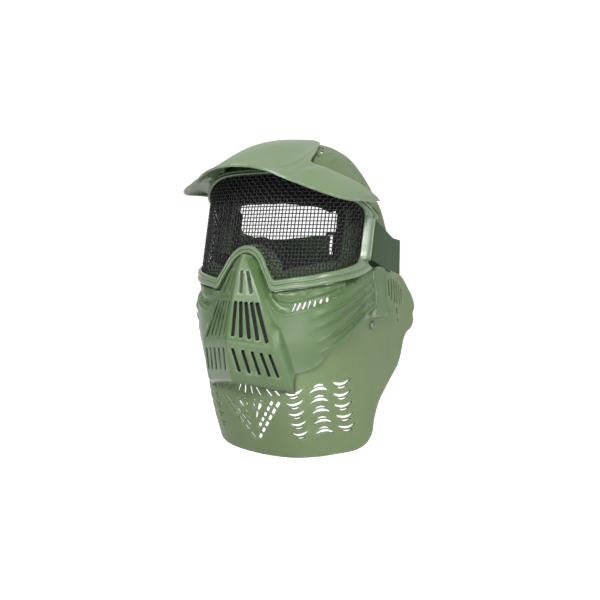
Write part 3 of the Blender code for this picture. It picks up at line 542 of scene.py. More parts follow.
class Nodes:
    """Adds nodes to a tree and connects them."""

    def __init__(self, tree):
        self.tree = tree

    def node(self, kind, settings=None, inputs=None):
        """Signals of a new node, by number and by name."""
        node = self.tree.nodes.new(kind)
        for key, value in (settings or {}).items():
            setattr(node, key, value)
        for key, value in (inputs or {}).items():
            self.feed(node, key, value)
        made = {}
        for i, socket in enumerate(node.outputs):
            made[i] = Signal(self, socket)
            made.setdefault(socket.name, made[i])
        return made

    def feed(self, node, key, value):
        """Connect a signal to an input, or set the input to a constant."""
        if isinstance(value, Signal):
            self.tree.links.new(value.socket, node.inputs[key])
        else:
            node.inputs[key].default_value = value

    def math(self, operation, *values):
        return self.node("ShaderNodeMath", {"operation": operation}, dict(enumerate(values)))[0]


class Finish(Nodes):
    """A material built on the Principled shader; constants are set on its own sockets."""

    def __init__(self, name, **constants):
        self.material = bpy.data.materials.new(name)
        self.material.use_nodes = True
        super().__init__(self.material.node_tree)
        self.shader = self.tree.nodes["Principled BSDF"]
        for key, value in constants.items():
            self.feed(self.shader, key.replace("_", " "), value)

    def place(self):
        return self.node("ShaderNodeTexCoord")["Object"]

    def noise(self, where, scale, detail=2.0, roughness=0.5):
        inputs = {"Vector": where, "Scale": scale, "Detail": detail, "Roughness": roughness}
        return self.node("ShaderNodeTexNoise", {}, inputs)[0]

    def attribute(self, name):
        return self.node("ShaderNodeAttribute", {"attribute_name": name})["Fac"]

    def mix(self, first, second, factor):
        ends = (end if isinstance(end, Signal) else (*end, 1.0) for end in (first, second))
        inputs = dict(zip((0, 6, 7), (factor, *ends)))
        return self.node("ShaderNodeMix", {"data_type": 'RGBA'}, inputs)[2]

    def ridges(self, value, pitch):
        """Even ridges at that pitch, from 0 to 1."""
        return self.math("SINE", value * (2 * math.pi / pitch)) * 0.5 + 0.5

    def finish(self, colour, roughness, height, depth):
        """Connect what varies: colour, roughness and a height, which is `depth` metres at 1."""
        inputs = {"Strength": 1.0, "Distance": depth, "Height": height}
        bump = self.node("ShaderNodeBump", {}, inputs)["Normal"]
        for key, value in (("Roughness", roughness), ("Base Color", colour), ("Normal", bump)):
            self.feed(self.shader, key, value)
        return self.material


# %% [markdown]
# ## Green plastics
# The hard mouldings have a slight sheen over a very fine spark-eroded grain, and the goggle rim is
# the glossiest; its tone is a paler copy of the shell green, which paints the light on the frame.
# The throat and head guards are a softer plastic: more olive, duller and a little cloudy, as a
# flexible grade is, and the head guard's tone is a darker copy of the throat guard's, which paints
# its shade. All are pale along their cut edges, partly from scuffing and partly as a painted
# highlight, which the `wear` value of each sheet marks.

# %% Green plastics
def moulded(name, deep, pale, roughness, grain, cloud, specular):
    """Plastic between two tones, fine grain, and pale edges: part scuffs, part painted highlight.
    """
    skin = Finish(name, IOR=1.47, Specular_IOR_Level=specular)
    where = skin.place()
    drift = skin.noise(where, 22, 3, 0.55)
    patch = skin.noise(where, 95, 4, 0.6)
    fine = skin.noise(where, 1150, 2)
    speck = skin.noise(where, 3400, 1)
    flow_lines = skin.node("ShaderNodeTexNoise", {}, {
        "Vector": skin.node("ShaderNodeMapping", {}, {"Vector": where, "Scale": (60, 60, 9)})[0],
        "Scale": 1.0, "Detail": 3.0})[0]
    tone = skin.mix(deep, pale, (drift * 0.5 + patch * 0.3 + flow_lines * 0.2 - 0.5) * cloud + 0.5)
    # Pale band along cut edges: partly scuffing, partly a painted highlight on every edge.
    scuff_and_highlight = skin.attribute("wear") * patch.between(0.35, 0.7)
    dust = speck.between(0.66, 0.8) * 0.10
    tone = skin.mix(tone, tuple(0.45 + 0.55 * c for c in pale), scuff_and_highlight * 0.22 + dust)
    rough = roughness + (drift - 0.5) * 0.16 + (fine - 0.5) * 0.22 + scuff_and_highlight * 0.12
    height = fine * 0.6 + speck * 0.25 + patch * 1.4
    return skin.finish(tone, rough, height, grain)


# name, deep tone, pale tone, roughness, depth of the grain, cloudiness, specular level
PLASTICS = (
    ("shell_green", (0.059, 0.108, 0.038), (0.087, 0.148, 0.056), 0.34, 0.00006, 1.0, 0.5),
    # The rim's tone is a paler copy of the shell green: painted light on the frame.
    ("rim_green", (0.112, 0.170, 0.090), (0.150, 0.215, 0.120), 0.27, 0.00004, 1.0, 0.6),
    ("peak_green", (0.104, 0.160, 0.078), (0.148, 0.210, 0.114), 0.40, 0.00006, 1.3, 0.6),
    ("soft_green", (0.110, 0.160, 0.072), (0.152, 0.210, 0.098), 0.56, 0.00009, 1.5, 0.35),
    # The head guard's tone is a darker copy of the soft green: painted shade.
    ("crown_green", (0.082, 0.124, 0.052), (0.114, 0.162, 0.072), 0.52, 0.00009, 1.5, 0.35),
)
shell_green, rim_green, peak_green, soft_green, crown_green = (moulded(*row) for row in PLASTICS)
print("plastics:", [row[0] for row in PLASTICS])

# %% [markdown]
# ## The face shell
# Nose grille, mouth box and cheeks are one moulding. A table gives the nose and mouth: for each
# height, how far the middle ridge, the panel edge and the flange stand out. The cheeks carry low
# relief: a sunk field under the goggles, swept ribs like clapboards, and a raised rear panel.

# %% Nose and mouth form
FACE = columns(("row", "ridge", "edge_x", "edge", "flange_x", "flange"), (
    (-8, 0.0, 3, 1.0, 5, 4),
    (-11, -2.0, 4, -0.5, 6.2, 3.4),
    (-23, -9.7, 12, -4.9, 14.2, 0.0),
    (-42, -15.8, 22, -7.3, 24.2, -4.2),
    (-51, -18.8, 26.5, -8.2, 28.8, -5.2),
    (-66, -22.5, 33.5, -9.3, 36.2, -6.0),
    (-68.6, -23.1, 34.7, -9.5, 37.4, -6.0),
    (-71, -23.7, 35.8, -9.6, 41.8, -4.6),
    (-77, -25.2, 38.5, -10.0, 44, -4),
    (-86, -27.6, 42.4, -10.4, 46.5, -4),
    (-100, -25.5, 44.0, -6.2, 48.5, -1),
    (-115, -21.8, 45.8, -1.0, 51, 4),
    (-126, -18.5, 47.2, 3.0, 52.5, 9),
    (-131, -5.0, 46.5, 9.0, 52.0, 12),
))
FACE_FINE = {name: eased(FACE["row"], FACE[name], (-68.6, -71, -86, -126))
             for name in FACE if name != "row"}
CHEEK_ROOT = 1.6 * MM       # from the flange out to where the cheek begins
ROOT_BLEND = 3 * MM         # from there on until the cheek is itself again
SAG, SAG_FROM, SAG_RUN = 0.145, -25 * MM, 60 * MM


def face_value(name, row):
    """Value of the nose and mouth table at a height of the middle ridge, in metres."""
    rows, values = FACE_FINE[name]
    return np.interp(np.asarray(row) / MM, rows, values) * MM


def face_row(x, up):
    """Height of the middle ridge that a point belongs to: rows sag towards the sides."""
    share = np.clip((SAG_FROM - up) / SAG_RUN, 0, 1)
    edge = np.interp(-np.asarray(up) / MM, -FACE["row"], FACE["edge_x"]) * MM
    return up + SAG * share * np.minimum(np.abs(x), edge)


def on_row(x, row):
    """Height on the sheet of a point of that row."""
    up = row
    for _ in range(5):
        up = row - (face_row(x, up) - up)
    return up


def grille_point(share, row):
    """Side distance and height of a point on the grille panels."""
    x = share * float(face_value("edge_x", row * MM))
    return x, float(on_row(x, row * MM))


SIDE_STEPS = np.arange(0, 92, 0.5) * MM
CHEEK_BACK = np.array([np.interp(SIDE_STEPS, x, back) for x, back in zip(CHEEK.x, CHEEK.back)])


def cheek_back(x, up):
    """Depth of the cheek surface at a side distance."""
    return grid_value(CHEEK_BACK, (up - CHEEK.ups[0]) / MM, x / CHEEK.STEP)


def bent(x, stations, depths, radius):
    """Line through stations with rounded corners; every argument is an array of points."""
    slopes = [(depths[i + 1] - depths[i]) / (stations[i + 1] - stations[i])
              for i in range(len(stations) - 1)]
    value = depths[0] + slopes[0] * (np.sqrt(x * x + radius * radius) - radius)
    for i in range(1, len(slopes)):
        t = x - stations[i]
        value = value + (slopes[i] - slopes[i - 1]) * 0.5 * (t + np.sqrt(t * t + radius * radius))
    return value


def shell_place(along, up, out=0.0):
    """Point of the face shell: the nose cone and mouth box stand out of the cheeks."""
    along, up = np.asarray(along, float), np.asarray(up, float)
    out = np.zeros(len(along)) + out
    points = CHEEK.place(along, up, out)
    side_x = CHEEK.read(CHEEK.x, np.abs(along), up)
    row = face_row(side_x, up)
    root_x = face_value("flange_x", row) + CHEEK_ROOT
    near = side_x < root_x + ROOT_BLEND
    x, here, root_x = side_x[near], row[near], root_x[near]
    stations = [0 * x, face_value("edge_x", here), face_value("flange_x", here), root_x,
                root_x + ROOT_BLEND]
    depths = [face_value(name, here) for name in ("ridge", "edge", "flange")]
    depths += [cheek_back(station, up[near]) for station in stations[3:]]
    depth = bent(x, stations, depths, 0.5 * MM)
    share = ease(x, root_x, root_x + ROOT_BLEND)
    wrapped = points[near, 1] + SEAT_TO_BRIDGE
    points[near, 0] = side_of(along[near]) * x * (1 - share) + points[near, 0] * share
    points[near, 1] = (depth - out[near]) * (1 - share) + wrapped * share - SEAT_TO_BRIDGE
    return points


# %% Low relief of the cheeks
def folded(across, up):
    """Points folded onto the wearer's left half."""
    return np.stack([np.abs(across), up], axis=1)


def beside(points, line):
    """Signed distance from a line, positive to its left, and the share of its length."""
    line = np.asarray(line, float) * MM
    starts, ends = line[:-1], line[1:]
    length = np.linalg.norm(ends - starts, axis=1)
    run = np.concatenate([[0], np.cumsum(length)])
    best = np.full(len(points), 9.0)
    signed, share = np.zeros(len(points)), np.zeros(len(points))
    for i, (a, b) in enumerate(zip(starts, ends)):
        way = (b - a) / length[i]
        rel = points - a
        t = np.clip(rel @ way, 0, length[i])
        gap = np.linalg.norm(rel - t[:, None] * way, axis=1)
        side = way[0] * rel[:, 1] - way[1] * rel[:, 0]
        closer = gap < best
        best = np.where(closer, gap, best)
        signed = np.where(closer, np.where(side > 0, gap, -gap), signed)
        share = np.where(closer, (run[i] + t) / run[-1], share)
    return signed, share


SUNK_LINE = ((12.2, -19.5), (15.8, -28), (20.4, -36), (25.8, -45.3), (31.2, -53), (38, -60.8),
             (47.8, -63.8), (58.6, -61.6), (71.5, -58), (81.5, -55.6), (97, -48), (117, -41),
             (137, -35.5), (146, -31.5))
STEP_LINE = ((31, -42.5), (33.5, -46), (38.5, -50), (45.5, -51.6), (53.5, -51.4), (60.5, -50),
             (75, -46.4), (95, -41))
RIBS = (
    ((63.8, -69.0), (84, -61.8), (108, -52.0), (130, -43.2), (148.6, -35.8)),
    ((66.0, -78.8), (88, -71.0), (112, -60.6), (134, -51.0), (152.0, -43.5)),
    ((71.4, -90.2), (94, -81.0), (117, -69.5), (137, -58.8), (155.0, -51.5)),
    ((72.8, -101.3), (94, -90.5), (117, -78.0), (139, -66.5), (157.5, -59.8)),
)
NOTCH_LINE = ((148.8, -22), (150.0, -33.5), (153.8, -36.0), (158.2, -46.0), (160.0, -58.5),
              (157.5, -66.0), (154.0, -80.0))
NOTCH_SLOTS = ((150.3, -36.5, 152.2, -41.0), (153.4, -44.5, 156.6, -56.5))
PANEL_EDGE = ((170.5, -24), (171.2, -32), (177.2, -50), (184.2, -71))
FRAME_LINE = ((26, -33.9), (32, -42.9), (39, -41.9), (50, -40.4), (67, -38.9), (82, -36.9),
              (98, -34.9), (116, -31.9), (141, -24.9))
RIB_HEIGHT, RIB_FALL, RIB_RISE = 2.3 * MM, 3.6 * MM, 1.1 * MM
SUNK_DEPTH, DITCH_DEPTH, UNDER_RIBS = 4.2 * MM, 6 * MM, 2 * MM
CREST, PANEL_HEIGHT, BEAD_HEIGHT = 0.5 * MM, 1.2 * MM, 0.9 * MM


def cheek_relief(along, up):
    """Height of the relief on the cheeks, in metres."""
    spots = folded(along, up)
    gap, share = beside(spots, SUNK_LINE)
    run_in = 2.4 * MM + 2.4 * MM * ease(spots[:, 0], 24 * MM, 46 * MM)
    sunk = ease(gap / run_in, 0.0, 1.0) * ease(share, 0.0, 0.06) * (1 - ease(share, 0.66, 0.97))
    crest = 1 - ease(np.abs(gap), 0.1 * MM, 1.3 * MM)
    crest *= CREST * ease(share, 0.0, 0.08) * (1 - ease(share, 0.75, 0.95))
    step, along_step = beside(spots, STEP_LINE)
    sunk *= 1 - 0.45 * ease(step, -2.6 * MM, 1.8 * MM) * ease(along_step, 0.0, 0.12)
    under_frame, _ = beside(spots, FRAME_LINE)
    open_slit = ease(spots[:, 0], 38 * MM, 43 * MM) * (1 - ease(spots[:, 0], 55 * MM, 60 * MM))
    open_slit = np.maximum(open_slit, 1 - ease(spots[:, 0], 31 * MM, 35 * MM))
    tuck = 1 - ease(-under_frame, 0.5 * MM, 5.5 * MM)
    height = crest - SUNK_DEPTH * sunk * (1 - 0.8 * tuck * (1 - open_slit))
    ditch = ease(spots[:, 0], 106 * MM, 109 * MM) * (1 - ease(spots[:, 0], 124 * MM, 127 * MM))
    height -= DITCH_DEPTH * ditch * (1 - ease(-under_frame, 2.2 * MM, 3.6 * MM))
    rear, _ = beside(spots, NOTCH_LINE)
    before_panel = ease(-rear, 0.0, 0.6 * MM)
    ribs = np.zeros(len(spots))
    for rib in RIBS:
        gap, share = beside(spots, rib)
        grow = ease(share, 0.0, 0.30)
        fall = np.clip(1 + gap / RIB_FALL, 0, 1) ** 1.2
        rise = np.clip(1 - gap / RIB_RISE, 0, 1)
        ribs = np.maximum(ribs, RIB_HEIGHT * np.where(gap > 0, rise, fall) * grow)
    gap, share = beside(spots, RIBS[3])
    under = ease(-gap, 0.6 * MM, 8.0 * MM) * ease(share, 0.0, 0.25)
    ribs = np.where(gap < 0, ribs * (1 - under), ribs) - UNDER_RIBS * under
    panel = PANEL_HEIGHT * ease(rear, -0.3 * MM, 0.5 * MM)
    rim, _ = beside(spots, PANEL_EDGE)
    bead = BEAD_HEIGHT * (1 - ease(np.abs(rim), 0.3 * MM, 1.4 * MM))
    return (height + ribs) * before_panel + panel + bead


# %% [markdown]
# ## The rim of the goggles
# One closed path round the window carries the frame, the lens and the foam. Each station of the
# path has an inner and an outer point on the lens surface, so the rim can grow wide at the brow,
# narrow at the temples and run in an arch over the nose.

# %% Rim path
RIM = (
    (0, 67, 0, 73, 16), (10, 67, 10, 73, 16), (20, 67, 20, 73, 16), (29, 66.6, 29.5, 72.6, 16),
    (38, 66, 39, 72, 16), (52, 63, 54, 69, 15), (66, 57.5, 69, 63.5, 13), (80, 49.5, 83, 57, 10),
    (94, 43, 98, 50, 8), (105, 39.3, 112, 43.6, 6), (114, 35, 130, 36, 4),
    (119.2, 30.5, 148, 27, 3), (120.4, 26.2, 135.5, 22.6, 3), (120.4, 22, 133.2, 20, 3),
    (120.4, 12, 132.8, 10, 3),
    (120.2, 2, 132.6, 0, 3), (119.8, -9, 132.4, -12, 3), (118.4, -13.6, 135, -17.5, 3),
    (116.5, -15.8, 143, -22.6, 3), (111.5, -18, 129.5, -27.6, 5),
    (104, -19.8, 112, -31, 7), (94, -22, 97, -33, 8), (80, -24.5, 82, -35.5, 9),
    (66, -27, 67, -38, 9), (50, -29.2, 50, -39.8, 9), (39, -31, 39, -41.2, 9),
    (33.4, -31.5, 31.5, -42, 8), (30, -28, 26, -33.5, 8), (26, -22, 20, -24, 9),
    (20, -11.5, 14.5, -15.5, 6), (14, -5, 9.5, -11, 3), (7, -1, 5, -8.8, 2), (0, 0, 0, -8, 2),
)
LENS_RUN, *LENS_LINES = plan_section(88 * MM, 75 * MM, 2.65, 0.07)
LENS_BACK, LENS_LEAN, LEAN_FROM = 5 * MM, 0.213, -13 * MM


def lens_section(reach):
    """Side distance and depth of the lens's plan section at a distance round it."""
    return [np.interp(reach, LENS_RUN, line) for line in LENS_LINES]


def goggle_place(along, up, out=0.0):
    """Point of the lens surface, which leans back with height."""
    along, up = np.asarray(along, float), np.asarray(up, float)
    x, back = moved_out(lens_section, along, out)
    lean = LENS_BACK + LENS_LEAN * (up - LEAN_FROM)
    return np.stack([x, back + lean - SEAT_TO_BRIDGE, up], axis=1)


def rim_path(step):
    """Fine stations of the rim: inner point, way across, width and shroud."""
    rows = np.array(RIM, float) * MM
    mirror = rows[-2:0:-1] * np.array((-1, 1, -1, 1, 1))
    fine = flow(np.vstack([rows, mirror]), step, closed=True)
    inner, outer, shroud = fine[:, 0:2], fine[:, 2:4], fine[:, 4]
    width = np.linalg.norm(outer - inner, axis=1)
    return inner, (outer - inner) / width[:, None], width, shroud


rim_inner, rim_across, rim_width, rim_shroud = rim_path(1.6 * MM)
print("rim stations:", len(rim_inner))

# %% Face shell
SHELL_THICKNESS = 2 * MM
CHEEK_EDGE = (
    ("depth", (92, -22.2), (101, -21.6), (110, -24.5), (112, -33), (115.5, -50), (120.7, -70.0),
     (106, -71.5), (93, -71), (74, -74), (47, -85)),
    ("side", (76, -99), (69, -110), (61, -115)),
)
GRILLE_SLOTS = (
    (0.325, -23, 0.31, -43.5, 2.6), (0.75, -23, 0.72, -43.5, 3.0),
    (0.145, -50.5, 0.135, -82, 3.0), (0.315, -50.5, 0.315, -82, 3.2),
    (0.485, -50.5, 0.495, -82, 3.3), (0.665, -50.5, 0.68, -82, 3.4),
    (0.85, -50.5, 0.875, -83, 3.4), (0.12, -93.0, 0.18, -115.5, 3.0),
    (0.32, -93.0, 0.37, -115.5, 3.0), (0.51, -93.0, 0.56, -115.5, 3.0),
    (0.69, -93.0, 0.745, -115.5, 3.0), (0.865, -93.0, 0.915, -115.5, 3.0),
)
CHEEK_SLOTS = (
    (56.1, -52.8, 52.6, -60.1), (60.9, -52.3, 57.5, -59.1), (66.2, -51.4, 62.9, -57.7),
    (70.9, -50.3, 68.1, -56.8), (76.2, -49.7, 73.8, -55.2), (82.0, -48.5, 80.1, -52.9),
    (88.4, -47.1, 86.0, -51.3), (94.7, -46.2, 93.8, -47.7),
)


def shell_outline():
    """Outline of the shell: along the frame, round the cheek and under the mouth box."""
    outer = rim_inner + rim_across * (rim_width[:, None] + 0.45 * MM)
    keep = (outer[:, 0] > 0.2 * MM) & (outer[:, 1] < -6 * MM)
    spots = outer[keep][::-1]
    stop = np.argmax((spots[:, 0] > 60 * MM) & (spots[:, 1] > -24 * MM))
    spots = spots[:stop if stop else None]
    walls = goggle_place(spots[:, 0], spots[:, 1], -1 * MM)
    top = np.array([(CHEEK.along_at("side", x, up) if x < 74 * MM
                     else CHEEK.along_at("depth", y + SEAT_TO_BRIDGE, up), up)
                    for x, y, up in walls])
    top = spaced(top, 1.4 * MM)
    side = flow(np.vstack([top[-1:], CHEEK.edge(CHEEK_EDGE)]), 1.4 * MM, corners=(6,))
    last = FACE["row"][-1] * MM
    width = float(face_value("flange_x", last))
    shelf = [(x, float(on_row(x, last))) for x in np.linspace(width, 0, 36)]
    corner = (width + 1.5 * MM, -118 * MM)
    return np.vstack([[(0, top[0][1])], top, side[1:], spaced([side[-1], corner], 1.4 * MM)[1:],
                      spaced([corner, shelf[0]], 1.4 * MM)[1:-1], shelf])


def shell_creases():
    """Lines where the shell breaks: middle ridge, panel edge, flange and its root."""
    rows = np.arange(-15, -127.5, -1.5) * MM
    lines = [np.array([(0.0, row) for row in rows])]
    for name, extra, first in (("edge_x", 0, -17), ("flange_x", 0, -26),
                               ("flange_x", CHEEK_ROOT, -46)):
        line = []
        for row in np.arange(first, -127.5, -1.2) * MM:
            x = float(face_value(name, row)) + extra
            line.append((x, float(on_row(x, row))))
        lines += both([np.array(line)])
    return lines


def lines_of(*table):
    """Each line of a table of millimetre points, on both sides."""
    return both([flow(np.array(line) * MM, 1.2 * MM) for line in table])


shell_edge = whole(shell_outline())
TUCK_DEPTH = 2.6 * MM
TUCK_LINE = [(x, y) for x, y in shell_edge[:len(shell_edge) // 2] if y > -44 * MM and x < 150 * MM]
shell_holes = both([slot(grille_point(a, b), grille_point(c, d), w * MM, round_steps=7, square=0.5)
                    for a, b, c, d, w in GRILLE_SLOTS])
shell_holes += both(slots(CHEEK_SLOTS, 1.6, round_steps=3))
shell_holes += both(slots(NOTCH_SLOTS, 1.3, round_steps=3))
rib_lines = [np.array(line)[:-1] for line in RIBS]
rib_feet = [line + (-0.4, 1.05) for line in rib_lines]
crisp = lines_of(*rib_lines, *rib_feet, NOTCH_LINE[:5], SUNK_LINE[2:-2])
relief_lines = crisp + lines_of(SUNK_LINE, PANEL_EDGE, STEP_LINE)
flat, faces = fill(shell_edge, shell_holes, shell_creases() + crisp, 2.4 * MM,
                   (relief_lines + shell_creases(), 3.2 * MM, 0.9 * MM))
relief = cheek_relief(flat[:, 0], flat[:, 1])
to_frame, _ = beside(np.abs(flat) * (1, -1), np.array(TUCK_LINE) / MM)
relief -= TUCK_DEPTH * (1 - ease(np.abs(to_frame), 0.2 * MM, 3.0 * MM))
side_x = CHEEK.read(CHEEK.x, np.abs(flat[:, 0]), flat[:, 1])
relief *= ease(side_x - face_value("flange_x", face_row(side_x, flat[:, 1])), 0.4 * MM, 2.4 * MM)
face_shell = sheet("mask_shell", flat, faces, shell_place(flat[:, 0], flat[:, 1], relief),
                   SHELL_THICKNESS, shell_green)
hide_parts("face_shell")
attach(face_shell, "root")

# %% [markdown]
# ## Painted shade behind the slots
# The slots of the grille look black, although a line through them would pass behind the far ear
# guard, because the inside of the mask lies in shade there. A thin black sheet of the foam material
# follows the inside of the moulding, close behind it, and paints that shade.

# %% Painted shade sheet in the mouth
def mouth_lining(material):
    """Black sheet inside the mouth box, a little behind it, which paints the shade there."""
    rows = np.arange(-46, -125, -1.5) * MM
    side = [(float(face_value("edge_x", row)) + 0.5 * MM, row) for row in rows]
    top = [(x, rows[0]) for x in np.linspace(0, side[0][0], 24)[:-1]]
    low = [(x, rows[-1]) for x in np.linspace(side[-1][0], 0, 24)[1:]]
    edge = whole([(x, float(on_row(x, row))) for x, row in top + side + low])
    flat, faces = fill(edge, [], [], 3 * MM)
    return sheet("mouth_lining", flat, faces, shell_place(flat[:, 0], flat[:, 1], -3.4 * MM),
                 1.2 * MM, material)


# %% [markdown]
# ## The throat and ear guard
# A soft sheet hangs inside the shell, wraps the throat and reaches back over the ears. It is full
# of slots: three columns of louvres on each side, a chevron of dashes in the middle, short slots
# under the chin and a fan of upright ones over each ear. They all come from short tables.

# %% Neck guard
NECK_EDGE = (
    ("side", (0, -207.5), (20, -206.8), (40, -205.5), (58, -203.5), (72, -202.0)),
    ("depth", (74, -201.5), (88, -197.5), (96, -188.5), (99, -174), (108, -158), (122, -147),
     (136, -137.5), (148, -128), (154, -118), (157.5, -105), (163, -95), (174, -89), (178, -82),
     (176, -75), (179, -67), (174, -57), (163, -45), (150, -33), (133, -27.5), (120, -23.5),
     (109, -23), (101, -34), (98, -60), (76, -66), (50, -77)),
    ("side", (77, -89), (66, -99), (56, -107), (46, -117), (30, -122), (0, -124)),
)
LOUVRE_ROWS, HOOD_HEIGHT = 5, 0.35 * MM
LOUVRES = (
    (39.6, -138.0, -178.5, 57.5, -133.4, -175.5, -3.4),
    (63.6, -138.0, -180.0, 82.2, -135.7, -178.8, 3.4),
    (88.3, -129.0, -172.7, 110.2, -127.1, -172.2, -3.4),
)
CHEVRONS = ((34.2, -147.0, 1.3, -191.0, 6), (26.8, -147.0, 4.6, -177.5, 5))
CHIN_SLOTS = ((3, -133.5, 4.4, -143), (8.5, -133, 14.4, -143.3), (19, -133.5, 26.8, -142.3),
              (27.5, -133.5, 34.8, -141.3))
FAN_SLOTS = ((13.0, -150.8, 8.0, -158.6, 3.8, 2.2), (7.4, -159.8, 3.4, -168.4, 2.8, 1.2),
             (4.4, -151.6, 4.0, -157.4, 2.8, 1.0), (15.6, -148.4, 11.6, -148.6, 1.6, 1.6),
             (7.6, -148.4, 4.2, -148.6, 1.6, 1.6))
EAR_SLOTS = (
    (177.0, -39.0, 178.0, -47.0), (180.5, -35.5, 183.8, -52.5), (185.5, -34.0, 189.5, -58.0),
    (190.7, -34.8, 195.5, -61.5), (196.0, -37.5, 200.5, -63.0), (201.0, -41.0, 205.5, -62.8),
    (206.3, -45.8, 209.6, -61.5),
)
EAR_HOOK = ((198.2, -65.6, 200.8, -73.0, 2.4), (200.6, -77.0, 202.0, -82.0, 3.2))
RIVET_SPOT = (NECK.along_at("depth", 96 * MM, -79.5 * MM), -79.5 * MM)


def louvres():
    """Left end, right end and bow of every louvre."""
    for inner, inner_top, inner_low, outer, outer_top, outer_low, bow in LOUVRES:
        for share in np.linspace(0, 1, LOUVRE_ROWS):
            yield (np.array((inner, inner_top + (inner_low - inner_top) * share)) * MM,
                   np.array((outer, outer_top + (outer_low - outer_top) * share)) * MM, bow)


def neck_holes():
    """Every opening of the guard: a louvre is a crescent with a shorter, finer one beside it."""
    holes = []
    for left, right, bow in louvres():
        holes.append(crescent(left, right, bow * MM, 3.4 * MM))
        middle, way = (left + right) / 2, (right - left)
        drop = np.array((0, math.copysign(5.4, bow))) * MM
        holes.append(crescent(middle + drop - way * 0.29, middle + drop + way * 0.29,
                              bow * 0.45 * MM, 1.9 * MM, 8))
    for top, top_up, low, low_up, dashes in CHEVRONS:
        start, end = np.array((top, top_up)) * MM, np.array((low, low_up)) * MM
        for i in range(dashes):
            holes.append(slot(start + (end - start) * (i + 0.02) / dashes,
                              start + (end - start) * (i + 0.86) / dashes, 2.8 * MM,
                              round_steps=5, square=0.6))
    holes += slots(CHIN_SLOTS, 2.5) + slots(FAN_SLOTS, round_steps=3)
    holes += slots(EAR_SLOTS, 2.5, round_steps=4) + slots(EAR_HOOK, round_steps=4)
    turn = np.arange(20) * math.pi / 10
    holes.append(np.array(RIVET_SPOT) + 2.1 * MM * np.stack([np.cos(turn), np.sin(turn)], axis=1))
    return both(holes)


def neck_relief(along, up):
    """Low hoods over the louvres."""
    spots = folded(along, up)
    height = np.zeros(len(spots))
    for left, right, bow in louvres():
        middle = (left + right) / 2 + np.array((0, math.copysign(2.4, bow))) * MM
        reach = np.abs(spots - middle) / np.array((9.5 * MM, 3.4 * MM))
        height += HOOD_HEIGHT * (1 - ease((reach ** 2).sum(axis=1), 0.1, 1.0))
    return height


neck_edge = whole(flow(NECK.edge(NECK_EDGE), 1.8 * MM))
holes = neck_holes()
flat, faces = fill(neck_edge, holes, [], 3.4 * MM, (holes, 3.0 * MM, 1.6 * MM))
neck_guard = sheet("throat_guard", flat, faces,
                   NECK.place(flat[:, 0], flat[:, 1], neck_relief(flat[:, 0], flat[:, 1])),
                   2 * MM, soft_green)
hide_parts("neck_guard")
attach(neck_guard, "root")

# %% [markdown]
# ## Peak and head guard
# Both are lofted sheets: a front line and a rear line, joined by straight lines that bow upwards.
# The peak has a raised tongue in the middle that runs back over the head guard, and a step where
# each wing begins. The head guard is pierced behind the peak and vented at the sides.

# %% Lofted sheets
class Loft:
    """Surface between two lines, placed by distance across and distance back."""

    def __init__(self, rows, length, lift):
        table = np.array(rows, float).T * MM
        middle = (table[0:3] + table[3:6]) / 2
        steps = np.sqrt((np.diff(middle, axis=1) ** 2).sum(axis=0))
        stations = np.concatenate([[0], np.cumsum(steps)])
        self.across = np.arange(0, stations[-1] + MM, 0.5 * MM)
        self.lines = []
        for line in table:
            raw = blend(self.across, stations, line)
            mirror = -1 if abs(line[0]) < 1e-9 and line[1] > 5 * MM else 1
            self.lines.append(self.soften(raw, mirror))
        self.length, self.half, self.lift = length, stations[-1], lift

    @staticmethod
    def soften(line, mirror):
        """Rounded copy of a line, mirrored at the middle."""
        pad = 14
        left = line[1:pad + 1][::-1] * mirror
        slope = line[-1] - line[-2]
        right = line[-1] + slope * np.arange(1, pad + 1)
        weights = np.exp(-0.5 * (np.arange(-pad, pad + 1) / 5.0) ** 2)
        return np.convolve(np.concatenate([left, line, right]), weights / weights.sum(), "valid")

    def raw(self, across, back):
        share = back / self.length
        x, depth, up, rear_x, rear_depth, rear_up, rise = (
            np.interp(np.abs(across), self.across, line) for line in self.lines)
        bow = np.maximum(share, 0) ** 0.8
        arch = rise * 4 * bow * (1 - bow)
        return np.stack([side_of(across) * (x + (rear_x - x) * share),
                         depth + (rear_depth - depth) * share - SEAT_TO_BRIDGE,
                         up + (rear_up - up) * share + arch + self.lift], axis=1)

    def place(self, across, back, out=0.0):
        """Points of the sheet; `out` moves them outwards, square to the surface."""
        across, back = np.asarray(across, float), np.asarray(back, float)
        here = self.raw(across, back)
        step = 0.8 * MM
        way_x = self.raw(across + step, back) - self.raw(across - step, back)
        way_y = (self.raw(across, np.minimum(back + step, self.length))
                 - self.raw(across, np.maximum(back - step, 0.5 * MM)))
        normal = np.cross(way_x, way_y)
        normal /= np.linalg.norm(normal, axis=1)[:, None]
        return here + normal * np.reshape(out, (-1, 1))


